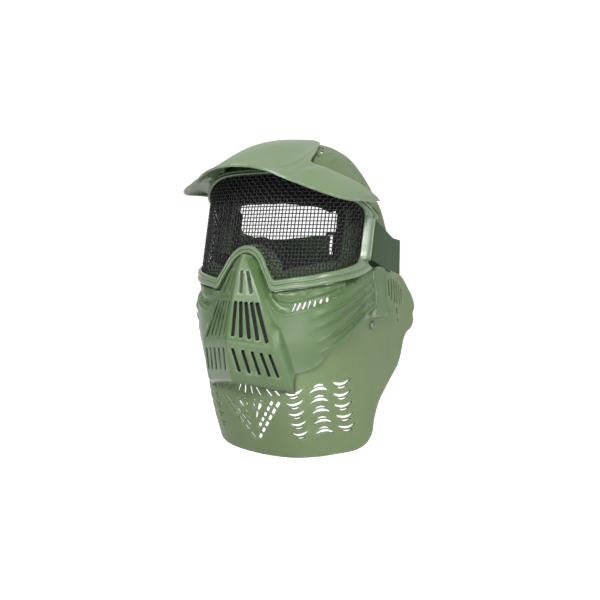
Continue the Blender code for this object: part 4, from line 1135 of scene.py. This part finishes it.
VISOR_ROWS = (
    (0, -20, 68, 0, 96, 102.8, 9.5), (12, -19.5, 67.5, 14, 95, 102.2, 8),
    (25, -17, 66, 27, 91, 98.7, 3), (38, -13, 62.5, 42, 62, 89, -2.5),
    (50, -8, 57, 56, 31, 72, -1.5), (62, -2, 51.5, 67, 35, 68, 4), (74, 6, 46, 78, 44, 62, 4),
    (85, 14, 41.5, 88, 54, 56, 4), (93, 21, 38.5, 94, 63, 50.5, 3.5), (98, 34, 37, 97, 72, 46, 3),
    (99.5, 52, 38.0, 99, 80, 41.5, 2), (99.5, 78, 37.8, 99.2, 85, 38, 0.5),
)
HEAD_ROWS = (
    (0, 28, 73.4, 0, 113, 102.3, 10), (14, 28.5, 73.4, 13, 112, 101.9, 9.9),
    (28, 30, 73.2, 26, 110, 99.2, 8.4), (42, 33.5, 71.9, 42, 107, 92.2, 6.5),
    (54, 37.5, 68.4, 55, 105, 84, 6), (66, 44, 62.6, 67, 104, 71, 5),
    (76, 51.5, 56.2, 77, 104, 57, 3.5), (83.8, 62.5, 48.4, 84.5, 105, 43, 2),
    (87.6, 73.5, 42.0, 89.5, 107, 32, 1.5), (89.8, 83.5, 37.4, 91.2, 110, 22, 0.5),
    (91.4, 93.5, 32.6, 91.8, 113, 15, 0.3), (92.2, 99.5, 26.8, 91.6, 117, 9, 0),
    (91.0, 89, 18.0, 91.0, 120, 3, 0),
)
PEAK = Loft(VISOR_ROWS, 100 * MM, 4 * MM)
CROWN = Loft(HEAD_ROWS, 75 * MM, 2 * MM)


WING_TOP, WING_LIFT = 70 * MM, 0.4
REAR_SHIFT = np.array((0, 8, -6.5)) * MM


def as_seated(points, across, back):
    """The peak as it sits in the photograph: its far wing is pushed up, and its rear edge down."""
    points = points.copy()
    far = ease(-points[:, 0], 40 * MM, 80 * MM)
    points[:, 2] += WING_LIFT * far * np.maximum(WING_TOP - points[:, 2], 0)
    rear = ease(-across, 50 * MM, 68 * MM) * (1 - ease(-across, 118 * MM, 140 * MM))
    rear *= ease(back, 52 * MM, 96 * MM)
    return points + rear[:, None] * REAR_SHIFT


def loft_sheet(name, surface, holes, lines, relief, material, seat=None):
    """Sheet over a whole loft; `seat` may move its points at the end."""
    corners = np.array([(-surface.half, 0), (surface.half, 0), (surface.half, surface.length),
                        (-surface.half, surface.length)])
    edge = np.vstack([spaced([a, b], 1.5 * MM)[:-1]
                      for a, b in zip(corners, np.roll(corners, -1, axis=0))])
    flat, faces = fill(edge, holes, lines, 2.6 * MM, (lines + holes, 3.0 * MM, 1.1 * MM))
    points = surface.place(flat[:, 0], flat[:, 1], relief(flat[:, 0], flat[:, 1]))
    points = seat(points, flat[:, 0], flat[:, 1]) if seat else points
    return sheet(name, flat, faces, points, 2 * MM, material)


# %% Peak
TONGUE_LINE = ((37, 4), (40, 12), (46.5, 27), (50.5, 43), (51.5, 60), (50, 77), (45, 91), (41, 98))
WING_LINE = ((50.5, 9), (56.5, 17.5), (65, 29.5), (73.5, 39), (83, 45.5), (95, 53))
TONGUE_HEIGHT, WING_HEIGHT, LIP_HEIGHT = 1.0 * MM, 1.1 * MM, 0.7 * MM


def peak_relief(across, back):
    """Raised tongue, the step where each wing begins, and the lip of the front edge."""
    spots = folded(across, back)
    gap, share = beside(spots, TONGUE_LINE)
    tongue = TONGUE_HEIGHT * ease(gap, -3.0 * MM, 0.8 * MM) * ease(share, 0.0, 0.3)
    gap, share = beside(spots, WING_LINE)
    fade = ease(share, 0.0, 0.25) * (1 - ease(share, 0.75, 1.0))
    wing = np.where(gap < 0, 1 - ease(-gap, 0, 9 * MM), 1 - ease(gap, 0, 0.9 * MM))
    lip = LIP_HEIGHT * (1 - ease(back, 0.4 * MM, 3.2 * MM))
    return tongue + WING_HEIGHT * wing * fade + lip


visor = loft_sheet("peak", PEAK, [], lines_of(TONGUE_LINE, WING_LINE), peak_relief,
                   peak_green, as_seated)
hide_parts("visor")
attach(visor, "root")

# %% Head guard
HEAD_SLOTS = ((17, 66.5, 21, 66.5), (27, 64.5, 31, 61), (34, 56, 37.5, 48.5),
              (39.5, 44.5, 45.5, 34.5), (48, 27, 48.5, 19.5))
SIDE_VENTS = ((75, 46), (77, 55), (79, 64), (84, 49), (86, 58), (88, 67), (94, 55), (96, 64))
LOW_VENTS = ((112, 12), (113.5, 21), (115, 30), (117, 39), (121, 16), (122.5, 25), (124, 34),
             (126, 43), (134, 40), (141, 16), (142, 25), (143, 34), (144, 43))
FOLD_LINES = (((56.5, 2), (50, 14), (47, 30), (48, 45), (46, 62)), ((62, 18), (58, 40), (51, 62)))
FOLD_HEIGHT = 0.9 * MM


def vent_slots():
    """Short upright slots in rows of three at the sides of the head guard."""
    rows = []
    for table, way in ((SIDE_VENTS, (3.2, -2.6)), (LOW_VENTS, (1.4, -3.4))):
        half = np.array(way) / 2
        for x, y in table:
            for i in (-1, 0, 1):
                middle = np.array((x + i * 3.4, y + i * 1.2))
                rows.append((*(middle - half), *(middle + half)))
    return slots(rows, 1.8, round_steps=3)


def crown_relief(across, back):
    """Low folds beside the middle, which die out at their ends."""
    spots = folded(across, back)
    height = np.zeros(len(spots))
    for line in FOLD_LINES:
        gap, share = beside(spots, line)
        fade = ease(share, 0, 0.2) * (1 - ease(share, 0.8, 1.0))
        height += FOLD_HEIGHT * (1 - ease(np.abs(gap), 0, 3.4 * MM)) * fade
    return height


crown_holes = both(slots(HEAD_SLOTS, 2.6, round_steps=4) + vent_slots())
head_guard = loft_sheet("crown_guard", CROWN, crown_holes, lines_of(*FOLD_LINES), crown_relief,
                        crown_green)
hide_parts("head_guard")
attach(head_guard, "root")

# %% [markdown]
# ## The goggle frame
# The frame is one section carried round the rim path: a rolled inner lip, a groove that holds the
# lens, a channel between two beads on the front, and a wall running back to the foam. Every corner
# of the section is rounded, because a moulded edge that is truly sharp never catches the light.

# %% Frame
def rounded(corners, radius, steps=4):
    """Closed section with each corner replaced by a short curve."""
    corners = np.asarray(corners, float)
    result = []
    for here, *sides in zip(corners, np.roll(corners, 1, axis=0), np.roll(corners, -1, axis=0)):
        a, b = (here + (p - here) / np.linalg.norm(p - here)
                * min(radius, np.linalg.norm(p - here) * 0.42) for p in sides)
        for t in np.linspace(0, 1, steps):
            result.append((1 - t) ** 2 * a + 2 * t * (1 - t) * here + t * t * b)
    return np.array(result)


WALL_BACK, TEMPLE_WALL = 12, 9


def wall_depth(along):
    """The wall reaches further back at the temples, in millimetres."""
    return WALL_BACK + TEMPLE_WALL * float(ease(abs(along), 100 * MM, 119 * MM))


def frame_section(width, shroud, at):
    """Section of the goggle frame: across the rim, and outwards from the lens face."""
    w, s, back = width / MM, shroud / MM, wall_depth(at[0])
    bar = float(ease(abs(at[0]), 117 * MM, 118.5 * MM) * ease(at[1], -13.5 * MM, -12 * MM)
                * (1 - ease(at[1], 27 * MM, 28.5 * MM)))
    front = np.array([
        (0, 2.3), (1.3, 3.9), (0.30 * w, 3.8), (0.42 * w, 3.3), (0.48 * w, 2.2),
        (0.56 * w, 2.1), (0.64 * w, 3.5), (0.72 * w, 3.7), (w - 1.0, 3.0), (w, 1.6)])
    raised = np.array([
        (0, 1.4), (2.6, 7.2), (3.6, 7.8), (6.2, 7.5), (7.0, 6.9),
        (7.8, 6.9), (8.6, 7.9), (10.0, 7.8), (11.2, 5.0), (w, 0.8)])
    front = front + (raised - front) * bar
    return rounded(np.vstack([[(0, 0.6)], front, [
        (w, -8), (6 - s, -back), (-s, -back), (0, -2.9), (0, -1.8), (3.2, -1.8), (3.2, 0.6),
    ]]) * MM, 0.55 * MM)


def on_rim(station, section):
    """A section at one station of the rim, carried onto the lens surface."""
    flat = rim_inner[station] + rim_across[station] * section[:, 0:1]
    return goggle_place(flat[:, 0], flat[:, 1], section[:, 1])


def ring(name, section, material):
    """Closed ring of sections round the rim path."""
    loops = [on_rim(i, section(rim_width[i], rim_shroud[i], rim_inner[i]))
             for i in range(len(rim_inner))]
    print(f"{name}: {len(loops)} stations of {len(loops[0])} points")
    return swept(name, loops, material, closed=True, sharp=48)


goggle_frame = ring("goggle_rim", frame_section, rim_green)
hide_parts("goggle_frame")
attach(goggle_frame, "root")

# %% [markdown]
# ## Foam behind the frame
# The gasket is a strip of open-cell foam, cut square and glued to the back of the frame. Foam has
# no seams to gather, so its crowned sides and slight lumps are shaped directly on the section,
# and the open cells are left to the material.

# %% Foam material and gasket
def open_cell_foam():
    """Black foam with fine open cells, whose pits are painted darker as painted shade."""
    foam = Finish("black_foam", IOR=1.4, Specular_IOR_Level=0.15)
    where = foam.place()
    cells = foam.node("ShaderNodeTexVoronoi", {"feature": 'F1'}, {"Vector": where, "Scale": 1300.0})
    pores = cells["Distance"].between(0.05, 0.55)
    lumps = foam.noise(where, 160, 3)
    # The pits of the cells are darker: painted shade in the pores, with random lumps.
    tone = foam.mix((0.006, 0.006, 0.007), (0.035, 0.035, 0.037), pores * 0.7 + lumps * 0.3)
    return foam.finish(tone, 0.86 + pores * 0.12, pores + lumps * 1.5, 0.00035)


black_foam = open_cell_foam()
# A black sheet behind the grille paints the shade inside the mouth box.
shade_sheet = mouth_lining(black_foam)
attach(shade_sheet, "root")


def foam_section(width, shroud, at):
    """Crowned section of the foam on the back of the frame."""
    s, back = shroud / MM, wall_depth(at[0])
    front, outer, inner = -back - 0.6, 5.5 - s, -s - 6.0 - 6.0 * float(ease(s, 9, 15))
    half = 5.5 - (back - WALL_BACK) * 0.28
    corners = np.array([(outer - 0.3, front), (outer + 0.5, front - half),
                        (outer - 1.4, front - 2 * half), (inner + 1.6, front - 2 * half),
                        (inner, front - half), (inner + 1.4, front)])
    return rounded(corners * MM, 2.4 * MM, 6)


LUMP_HEIGHT = 0.22 * MM
foam_gasket = ring("foam_seal", foam_section, black_foam)
coords = np.array([v.co for v in foam_gasket.data.vertices])
wave = LUMP_HEIGHT * (np.sin(coords[:, 0] * 310 + 1.3) * np.sin(coords[:, 2] * 270)
                      + 0.6 * np.sin(coords[:, 0] * 720 + coords[:, 2] * 650))
normals = np.array([v.normal for v in foam_gasket.data.vertices])
coords += normals * wave[:, None]
foam_gasket.data.vertices.foreach_set("co", coords.ravel())

# %% Brow foam
BROW_FROM = 20 * MM


def brow_foam():
    """Thin foam glued over the slope of the frame behind the lens, along the brow."""
    count = len(rim_inner)
    order = [i % count for i in range(-count // 2, count // 2)]
    order = [i for i in order if rim_shroud[i] > 1.2 * MM and rim_inner[i][1] > BROW_FROM]
    loops = []
    for i in order:
        s = rim_shroud[i] / MM
        corners = np.array([(-0.9, -2.1), (-0.5, -3.2), (-s + 0.4, -12.2), (-s - 1.2, -11.4)])
        loops.append(on_rim(i, rounded(corners * MM, 0.5 * MM)))
    obj = swept("brow_foam", loops, black_foam)
    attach(obj, "root")


brow_foam()
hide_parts("foam_gasket")
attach(foam_gasket, "root")

# %% [markdown]
# ## The woven lens
# The lens is steel wire cloth, painted black. Its shape follows a rule, so Geometry Nodes weave it:
# straight wires are laid out at the pitch, cut where they leave the window, crimped over and under
# each other by one cosine, and carried onto the leaning section of the lens. The same tree makes
# the level wires and the upright ones.

# %% Wire material
def painted_wire():
    """Black paint, chipped to grey in a few places."""
    wire = Finish("black_wire", IOR=1.5, Specular_IOR_Level=0.25)
    where = wire.place()
    chips = wire.noise(where, 900, 3).between(0.60, 0.72)
    haze = wire.noise(where, 140, 3)
    tone = wire.mix((0.004, 0.004, 0.005), (0.014, 0.014, 0.015), haze)
    tone = wire.mix(tone, (0.10, 0.10, 0.105), chips * 0.3)
    return wire.finish(tone, 0.28 + haze * 0.2, wire.noise(where, 2600, 2), 0.00004)


black_wire = painted_wire()

# %% Weaving tree
def weaving_tree():
    """Geometry Nodes: a window outline in, crimped wires on the lens surface out."""
    tree = bpy.data.node_groups.new("woven_wires", 'GeometryNodeTree')
    face = tree.interface
    face.new_socket("Window", in_out='INPUT', socket_type='NodeSocketGeometry')
    sockets = {}
    kinds = {"Section": 'Object', "Upright": 'Bool', "Finish": 'Material'}
    for label in ("Section", "Pitch", "Wire Radius", "Crimp", "Half Width", "Low", "High", "Lean",
                  "Lean From", "Depth", "Upright", "Finish"):
        kind = "NodeSocket" + kinds.get(label, 'Float')
        sockets[label] = face.new_socket(label, in_out='INPUT', socket_type=kind).identifier
    face.new_socket("Wires", in_out='OUTPUT', socket_type='NodeSocketGeometry')
    nodes = Nodes(tree)
    given = nodes.node("NodeGroupInput")

    def add(kind, inputs=None, **settings):
        return nodes.node("GeometryNode" + kind, settings, inputs)[0]

    def vector(*values):
        return nodes.node("ShaderNodeCombineXYZ", {}, dict(enumerate(values)))[0]

    def parts(value):
        made = nodes.node("ShaderNodeSeparateXYZ", {}, {0: value})
        return made[0], made[1], made[2]

    def pick(false, true):
        return add("Switch", {0: given["Upright"], 1: false, 2: true}, input_type='FLOAT')

    pitch, low, high, half = (given[name] for name in ("Pitch", "Low", "High", "Half Width"))
    height, width = high - low, half * 2.0
    run, cross = pick(width, height), pick(height, width)
    wires, steps = nodes.math("FLOOR", cross / pitch), nodes.math("FLOOR", run / pitch) * 4.0
    along, rows = (add("MeshLine", {"Count": count, "Offset": offset}, mode='OFFSET')
                   for count, offset in ((steps, vector(pitch / 4.0)), (wires, vector(0.0, pitch))))
    laid = add("InstanceOnPoints", {"Points": rows, "Instance": along})
    laid = add("RealizeInstances", {0: laid})
    first, second, _ = parts(add("InputPosition"))
    spot = vector(pick(first, second) - half, pick(second, first) + low)
    laid = add("SetPosition", {"Geometry": laid, "Position": spot})
    u, v, _ = parts(add("InputPosition"))
    hit = add("Raycast", {"Target Geometry": given["Window"], "Source Position": vector(u, v, 1.0),
                          "Ray Direction": (0, 0, -1), "Ray Length": 3.0})
    outside = nodes.node("FunctionNodeBooleanMath", {"operation": 'NOT'}, {0: hit})[0]
    kept = add("DeleteGeometry", {"Geometry": laid, "Selection": outside}, domain='POINT')
    curves = add("MeshToCurve", {0: kept})
    crimp = nodes.math("COSINE", (u + v) / pitch * math.pi) * given["Crimp"]
    wave = crimp * pick(1.0, -1.0) - given["Depth"]
    section = nodes.node("GeometryNodeObjectInfo", {}, {0: given["Section"]})["Geometry"]
    reach = u + add("CurveLength", {0: section}) / 2.0
    sample = nodes.node("GeometryNodeSampleCurve", {"mode": 'LENGTH', "use_all_curves": True},
                        {"Curves": section, "Length": reach})
    at, way = parts(sample["Position"]), parts(sample["Tangent"])
    lean = (v - given["Lean From"]) * given["Lean"]
    spot = vector(at[0] + wave * way[1], at[1] - wave * way[0] + lean, v)
    placed = add("SetPosition", {"Geometry": curves, "Position": spot})
    circle = add("CurvePrimitiveCircle", {"Resolution": 6, "Radius": given["Wire Radius"]},
                 mode='RADIUS')
    wires = add("CurveToMesh", {"Curve": placed, "Profile Curve": circle, "Fill Caps": True})
    wires = add("SetShadeSmooth", {"Geometry": wires})
    wires = add("RealizeInstances", {0: wires})
    wires = add("SetMaterial", {"Geometry": wires, "Material": given["Finish"]})
    nodes.feed(tree.nodes.new("NodeGroupOutput"), 0, wires)
    return tree, sockets


# %% Weave the lens
WIRE_PITCH, WIRE_RADIUS, WIRE_CRIMP = 3.45 * MM, 0.56 * MM, 0.48 * MM
WIRES_INTO_RIM = 2.4 * MM


def section_curve():
    """The plan section of the lens as a curve, from the right cheek round to the left."""
    reach = np.linspace(-150, 150, 601) * MM
    data = bpy.data.curves.new("lens_section", 'CURVE')
    data.dimensions = '3D'
    line = data.splines.new('POLY')
    line.points.add(len(reach) - 1)
    for point, r in zip(line.points, reach):
        x, back = lens_section(abs(r))
        point.co = (math.copysign(x, r), back + LENS_BACK - SEAT_TO_BRIDGE, 0, 1)
    return linked("lens_section", data)


def woven(name, upright, section, tree, sockets):
    """One direction of the wires, woven by the tree and baked."""
    window = rim_inner + rim_across * WIRES_INTO_RIM
    mesh = bpy.data.meshes.new(name)
    mesh.from_pydata([(x, y, 0) for x, y in window], [], [tuple(range(len(window)))])
    obj = linked(name, mesh)
    weave = obj.modifiers.new("weave", 'NODES')
    weave.node_group = tree
    values = {"Section": section, "Pitch": WIRE_PITCH, "Wire Radius": WIRE_RADIUS,
              "Crimp": WIRE_CRIMP, "Half Width": 38.5 * WIRE_PITCH, "Low": -9.5 * WIRE_PITCH,
              "High": 20.5 * WIRE_PITCH, "Lean": LENS_LEAN, "Lean From": LEAN_FROM,
              "Depth": 0.6 * MM, "Upright": upright, "Finish": black_wire}
    for label, value in values.items():
        weave[sockets[label]] = value
    bpy.context.view_layer.update()
    baked(obj, 60)
    print(f"{name}: {len(obj.data.polygons)} faces")
    return obj


weave_tree, weave_sockets = weaving_tree()
lens_line = section_curve()
level_wires = woven("lens_level_wires", False, lens_line, weave_tree, weave_sockets)
upright_wires = woven("lens_upright_wires", True, lens_line, weave_tree, weave_sockets)
bpy.data.objects.remove(lens_line, do_unlink=True)
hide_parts("mesh_lens")
for wires in (level_wires, upright_wires):
    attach(wires, "root")

# %% [markdown]
# ## The strap and its slide adjuster
# Elastic webbing goes once round the back of the head. It is too thin for a cloth simulation, which
# would erase it, so it is swept along its course: a flat section with thick selvedges and knitted
# ribs, kept upright and leaning like the frame where it leaves the goggles. Each half ends in a
# loop round a bar of the adjuster.

# %% Webbing material
WALE_PITCH = 1.27 * MM


def webbing():
    """Knitted cloth: picks along the strap, wales up it, and fuzz; grooves get painted shade."""
    cloth = Finish("green_webbing", IOR=1.45, Specular_IOR_Level=0.2, Sheen_Weight=0.08,
                   Sheen_Roughness=0.5)
    run, rise = cloth.attribute("run") * 1000, cloth.attribute("rise") * 1000
    picks = cloth.ridges(run, 0.9)
    wales = cloth.ridges(rise, WALE_PITCH / MM)
    cross = cloth.ridges(run + rise * 0.7, 1.8)
    fuzz = cloth.noise(cloth.place(), 1700, 3, 0.65)
    fade = cloth.noise(cloth.place(), 40, 3)
    height = picks * wales * 0.7 + cross * 0.2 + fuzz * 0.35
    # The tone follows the knit's height: painted shade in its grooves, and a random fade.
    tone = cloth.mix((0.026, 0.052, 0.024), (0.064, 0.104, 0.056), height * 0.7 + fade * 0.25)
    return cloth.finish(tone, 0.78 + fuzz * 0.15, height, 0.00022)


green_webbing = webbing()

# %% Course of the strap
STRAP_WIDTH, STRAP_THICKNESS, LEAN_RUN = 38 * MM, 1.8 * MM, 45 * MM
SLIDER_X, SLIDER_WIDTH, SLIDER_BAR, SLIDER_THICKNESS = -21 * MM, 21 * MM, 2.4 * MM, 2.2 * MM
FIT_GAP = 0.3 * MM
STRAP_COURSE = (
    (92.6, 84.5, 4.9), (92.8, 95, 1.6), (92.4, 106, -2.8), (91.2, 119, -7),
    (89.0, 132, -10.5), (87.6, 144, -13.5), (85.5, 158, -14.5), (77, 174, -14), (62, 187, -12),
    (42, 198.5, -10), (21, 204.5, -9), (0, 206.5, -9),
)


def strap_course():
    """Middle line of the strap, from the wearer's left round to the right."""
    left = np.array(STRAP_COURSE) * MM - (0, SEAT_TO_BRIDGE, 0)
    points = np.vstack([left, left[-2::-1] * (-1, 1, 1)])
    reach = run_of(points)
    dense = np.linspace(0, reach[-1], 400)
    return np.stack([blend(dense, reach, points[:, i]) for i in range(3)], axis=1)


def looped_end(course, middle, way, sign):
    """Course of one strap half that ends looped round a bar of the adjuster."""
    bar = SLIDER_WIDTH / 2 - SLIDER_BAR / 2
    radius = math.hypot(SLIDER_BAR, SLIDER_THICKNESS) / 2 + 1.5 * FIT_GAP + STRAP_THICKNESS / 2
    inward = np.array((way[1], -way[0], 0.0))
    inward = -inward if inward[1] > 0 else inward
    reach = (course - middle) @ way * sign
    kept = course[reach < -(bar + 16 * MM)]
    line = list(kept[::9] if sign > 0 else kept[::-1][::9])
    centre = middle - way * sign * bar
    line += [centre - way * sign * back + inward * radius for back in (10 * MM, 4 * MM)]
    line += [centre + way * sign * radius * math.sin(turn) + inward * radius * math.cos(turn)
             for turn in np.linspace(0, math.pi, 9)]
    line += [centre - way * sign * back - inward * (radius + 0.1 * MM)
             for back in (5 * MM, 22 * MM)]
    return np.array(line)


# %% Sweep the webbing
def strap_profile():
    """Closed section: wales on both faces and a thicker selvedge at each edge."""
    rise = np.linspace(-0.5, 0.5, 81)
    edge = np.clip((0.5 - np.abs(rise)) / 0.045, 0, 1)
    ribs = 0.07 * np.cos(rise * STRAP_WIDTH / WALE_PITCH * 2 * math.pi) * (edge >= 1)
    half = 0.5 * np.sqrt(1 - (1 - edge) ** 2 * 0.92) - 0.06 + ribs
    front = np.stack([half, rise], axis=1)
    return np.vstack([front, np.stack([-half, rise], axis=1)[::-1]])


def strap_half(name, node, course):
    """Webbing swept along one half of the course."""
    course = flow(course, 1.3 * MM)
    tangent = np.gradient(course, axis=0)
    run = run_of(course)
    across = np.stack([tangent[:, 1], -tangent[:, 0], 0 * run], axis=1)
    across *= STRAP_THICKNESS / np.linalg.norm(across, axis=1)[:, None]
    lean = LENS_LEAN * np.maximum(0, 1 - run / LEAN_RUN)
    upright = np.stack([0 * run, lean, 1 + 0 * run], axis=1) * STRAP_WIDTH
    profile = strap_profile()
    loops = (course[:, None, :] + across[:, None, :] * profile[None, :, 0:1]
             + upright[:, None, :] * profile[None, :, 1:2])
    obj = swept(name, loops, green_webbing, sharp=60)
    marked(obj, "run", np.repeat(run, len(profile)))
    marked(obj, "rise", np.tile(profile[:, 1] * STRAP_WIDTH, len(course)))
    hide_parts(node)
    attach(obj, "root")
    print(f"{name}: {run[-1] * 1000:.0f} mm of webbing, {len(obj.data.polygons)} faces")


course = strap_course()
spot = int(np.argmin(np.abs(course[:, 0] - SLIDER_X) + (course[:, 1] < 0.05) * 10.0))
slider_way = course[spot + 3] - course[spot - 3]
slider_way[2] = 0
slider_way /= np.linalg.norm(slider_way)
slider_middle = course[spot]
for side, sign in (("left", 1), ("right", -1)):
    strap_half("webbing_" + side, "strap_" + side,
               looped_end(course, slider_middle, slider_way, sign))

# %% Slide adjuster
def glossy_black():
    """Moulded black, with pale edges that are partly scuffs and partly painted highlight."""
    hard = Finish("black_slider", IOR=1.49)
    where = hard.place()
    fine, patch = hard.noise(where, 1500, 2), hard.noise(where, 120, 3)
    edge = hard.attribute("wear")
    tone = hard.mix((0.010, 0.010, 0.011), (0.030, 0.030, 0.032), patch)
    # Pale edges: partly scuffing, partly a painted highlight.
    tone = hard.mix(tone, (0.10, 0.10, 0.10), edge * patch * 0.5)
    return hard.finish(tone, 0.36 + fine * 0.18, fine + patch, 0.00005)


black_slider = glossy_black()
window_height = STRAP_WIDTH + 2 * FIT_GAP
window_width = (SLIDER_WIDTH - 3 * SLIDER_BAR) / 2


def box_line(middle, width, height, radius):
    """Rounded box about a point of the level axis."""
    corners = ((-1, -1), (1, -1), (1, 1), (-1, 1))
    return rounded([(middle + i * width / 2, j * height / 2) for i, j in corners], radius, 6)


windows = [box_line(side * (window_width + SLIDER_BAR) / 2, window_width, window_height, 0.5 * MM)
           for side in (-1, 1)]
slider_edge = box_line(0, SLIDER_WIDTH, window_height + 6 * MM, 2.2 * MM)
flat, faces = fill(slider_edge, windows, [], 1.2 * MM)
square = np.array((slider_way[1], -slider_way[0], 0.0))
square = -square if square[1] < 0 else square
points = (slider_middle + flat[:, 0:1] * slider_way + flat[:, 1:2] * np.array((0, 0, 1.0))
          + square * SLIDER_THICKNESS / 2)
strap_slider = sheet("slide_adjuster", flat, faces, points, SLIDER_THICKNESS, black_slider,
                     0.5 * MM)
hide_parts("strap_slider")
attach(strap_slider, "root")

# %% Rivets
def rivet_metal():
    """Painted metal, rubbed in patches."""
    metal = Finish("rivet_green", IOR=1.5, Metallic=0.25)
    rub = metal.noise(metal.place(), 500, 3)
    tone = metal.mix((0.075, 0.115, 0.085), (0.15, 0.20, 0.16), rub)
    return metal.finish(tone, 0.34 + rub * 0.2, rub, 0.00003)


rivet_green = rivet_metal()


def rivet(name, node, side):
    """Domed rivet turned about its own axis, through the guard below the shell's rear corner."""
    spots = np.array([RIVET_SPOT, RIVET_SPOT]) * (side, 1)
    outer, inner = NECK.place(spots[:, 0], spots[:, 1], np.array((0.3, -2.3)) * MM)
    axis = Vector(outer - inner).normalized()
    length = np.linalg.norm(outer - inner) / MM
    dome = [(4.5 * math.sin(t), 0.3 + 2.6 * math.cos(t)) for t in np.linspace(0.02, 1.5, 12)[4:]]
    profile = [(0.0, 1.9), (1.6, 1.9), (1.8, 2.5), *dome, (4.45, 0.0), (1.7, 0.0),
               (1.7, -length), (2.8, -length), (2.7, -length - 0.8), (2.4, -length - 1.0),
               (0.0, -length - 1.0)]
    shape = bmesh.new()
    verts = [shape.verts.new((radius * MM, 0, height * MM)) for radius, height in profile]
    edges = [shape.edges.new((a, b)) for a, b in zip(verts, verts[1:])]
    bmesh.ops.spin(shape, geom=verts + edges, cent=(0, 0, 0), axis=(0, 0, 1),
                   angle=2 * math.pi, steps=36, use_merge=True)
    bmesh.ops.remove_doubles(shape, verts=shape.verts, dist=0.01 * MM)
    bmesh.ops.recalc_face_normals(shape, faces=shape.faces)
    mesh = bpy.data.meshes.new(name)
    shape.to_mesh(mesh)
    shape.free()
    turn = axis.to_track_quat('Z', 'Y').to_matrix().to_4x4()
    turn.translation = outer
    mesh.transform(turn)
    shaded(mesh, 40)
    mesh.materials.append(rivet_green)
    obj = linked(name, mesh)
    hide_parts(node)
    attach(obj, "root")
    print(f"{name}: {len(mesh.polygons)} faces")


for side, sign in (("left", 1), ("right", -1)):
    rivet("stud_" + side, "rivet_" + side, sign)

# %% [markdown]
# ## Floor and light
# The photograph is a catalogue picture: a white sweep behind and below, which every glancing
# surface mirrors, a lamp above the camera, a tall one at the side that draws the pale line down
# the frame, and a weak one below. The room is bright behind the mask and dim in front of it, and
# the camera alone sees it as plain white.

# %% Floor
def pale_floor():
    """White floor that gives off some light of its own."""
    plain = Finish("pale_floor", Emission_Strength=0.5, Emission_Color=(1, 1, 1, 1))
    where = plain.place()
    tone = plain.mix((0.90, 0.90, 0.90), (0.94, 0.94, 0.94), plain.noise(where, 6, 3))
    return plain.finish(tone, 0.85, plain.noise(where, 300, 2), 0.0001)


FLOOR_HALF, FLOOR_UP = 8, -0.30
floor_corners = [(x * FLOOR_HALF, y * FLOOR_HALF, FLOOR_UP)
                 for x, y in ((-1, -1), (1, -1), (1, 1), (-1, 1))]
floor_mesh = bpy.data.meshes.new("floor")
floor_mesh.from_pydata(floor_corners, [], [(0, 1, 2, 3)])
floor_mesh.materials.append(pale_floor())
floor = linked("floor", floor_mesh)
floor.visible_diffuse = False

# %% Light
world = bpy.data.worlds.new("studio")
world.use_nodes = True
backdrop = world.node_tree.nodes["Background"]
backdrop.inputs["Color"].default_value = (1, 1, 1, 1)
DIM_FRONT, BRIGHT_BACK = 0.09, 1.12
room = Nodes(world.node_tree)
ray = room.node("ShaderNodeTexCoord")["Generated"]
way = room.node("ShaderNodeSeparateXYZ", {}, {0: ray})["Y"]
sweep = room.node("ShaderNodeMapRange", {}, {0: way, 1: -0.25, 2: 0.75, 3: DIM_FRONT,
                                             4: BRIGHT_BACK})[0]
seen = room.node("ShaderNodeLightPath")["Is Camera Ray"]
room.feed(backdrop, "Strength", room.math("MAXIMUM", sweep, seen))
bpy.context.scene.world = world
bpy.context.scene.view_settings.view_transform = 'Standard'


def soft_box(name, place, aim, size, power):
    """Square or upright lamp at one place, turned to another."""
    data = bpy.data.lights.new(name, 'AREA')
    data.shape, data.size, data.size_y = 'RECTANGLE', size[0], size[1]
    data.energy = power
    lamp = linked(name, data)
    lamp.location = place
    lamp.rotation_euler = (Vector(aim) - Vector(place)).to_track_quat('-Z', 'Y').to_euler()


sky = bpy.data.lights.new("overhead", 'SUN')
sky.energy, sky.angle = 1.45, math.radians(35)
linked("overhead", sky).rotation_euler = (math.radians(24), math.radians(-20), 0)
soft_box("key", (0.24, -0.90, 0.55), (0, -0.05, -0.03), (0.30, 0.30), 8.5)
soft_box("side", (1.05, -0.55, 0.15), (0.05, 0, 0), (0.20, 0.7), 8)
soft_box("bounce", (0.25, -0.70, -0.28), (0, -0.05, -0.12), (0.6, 0.3), 2.5)
print("lights and floor are in")
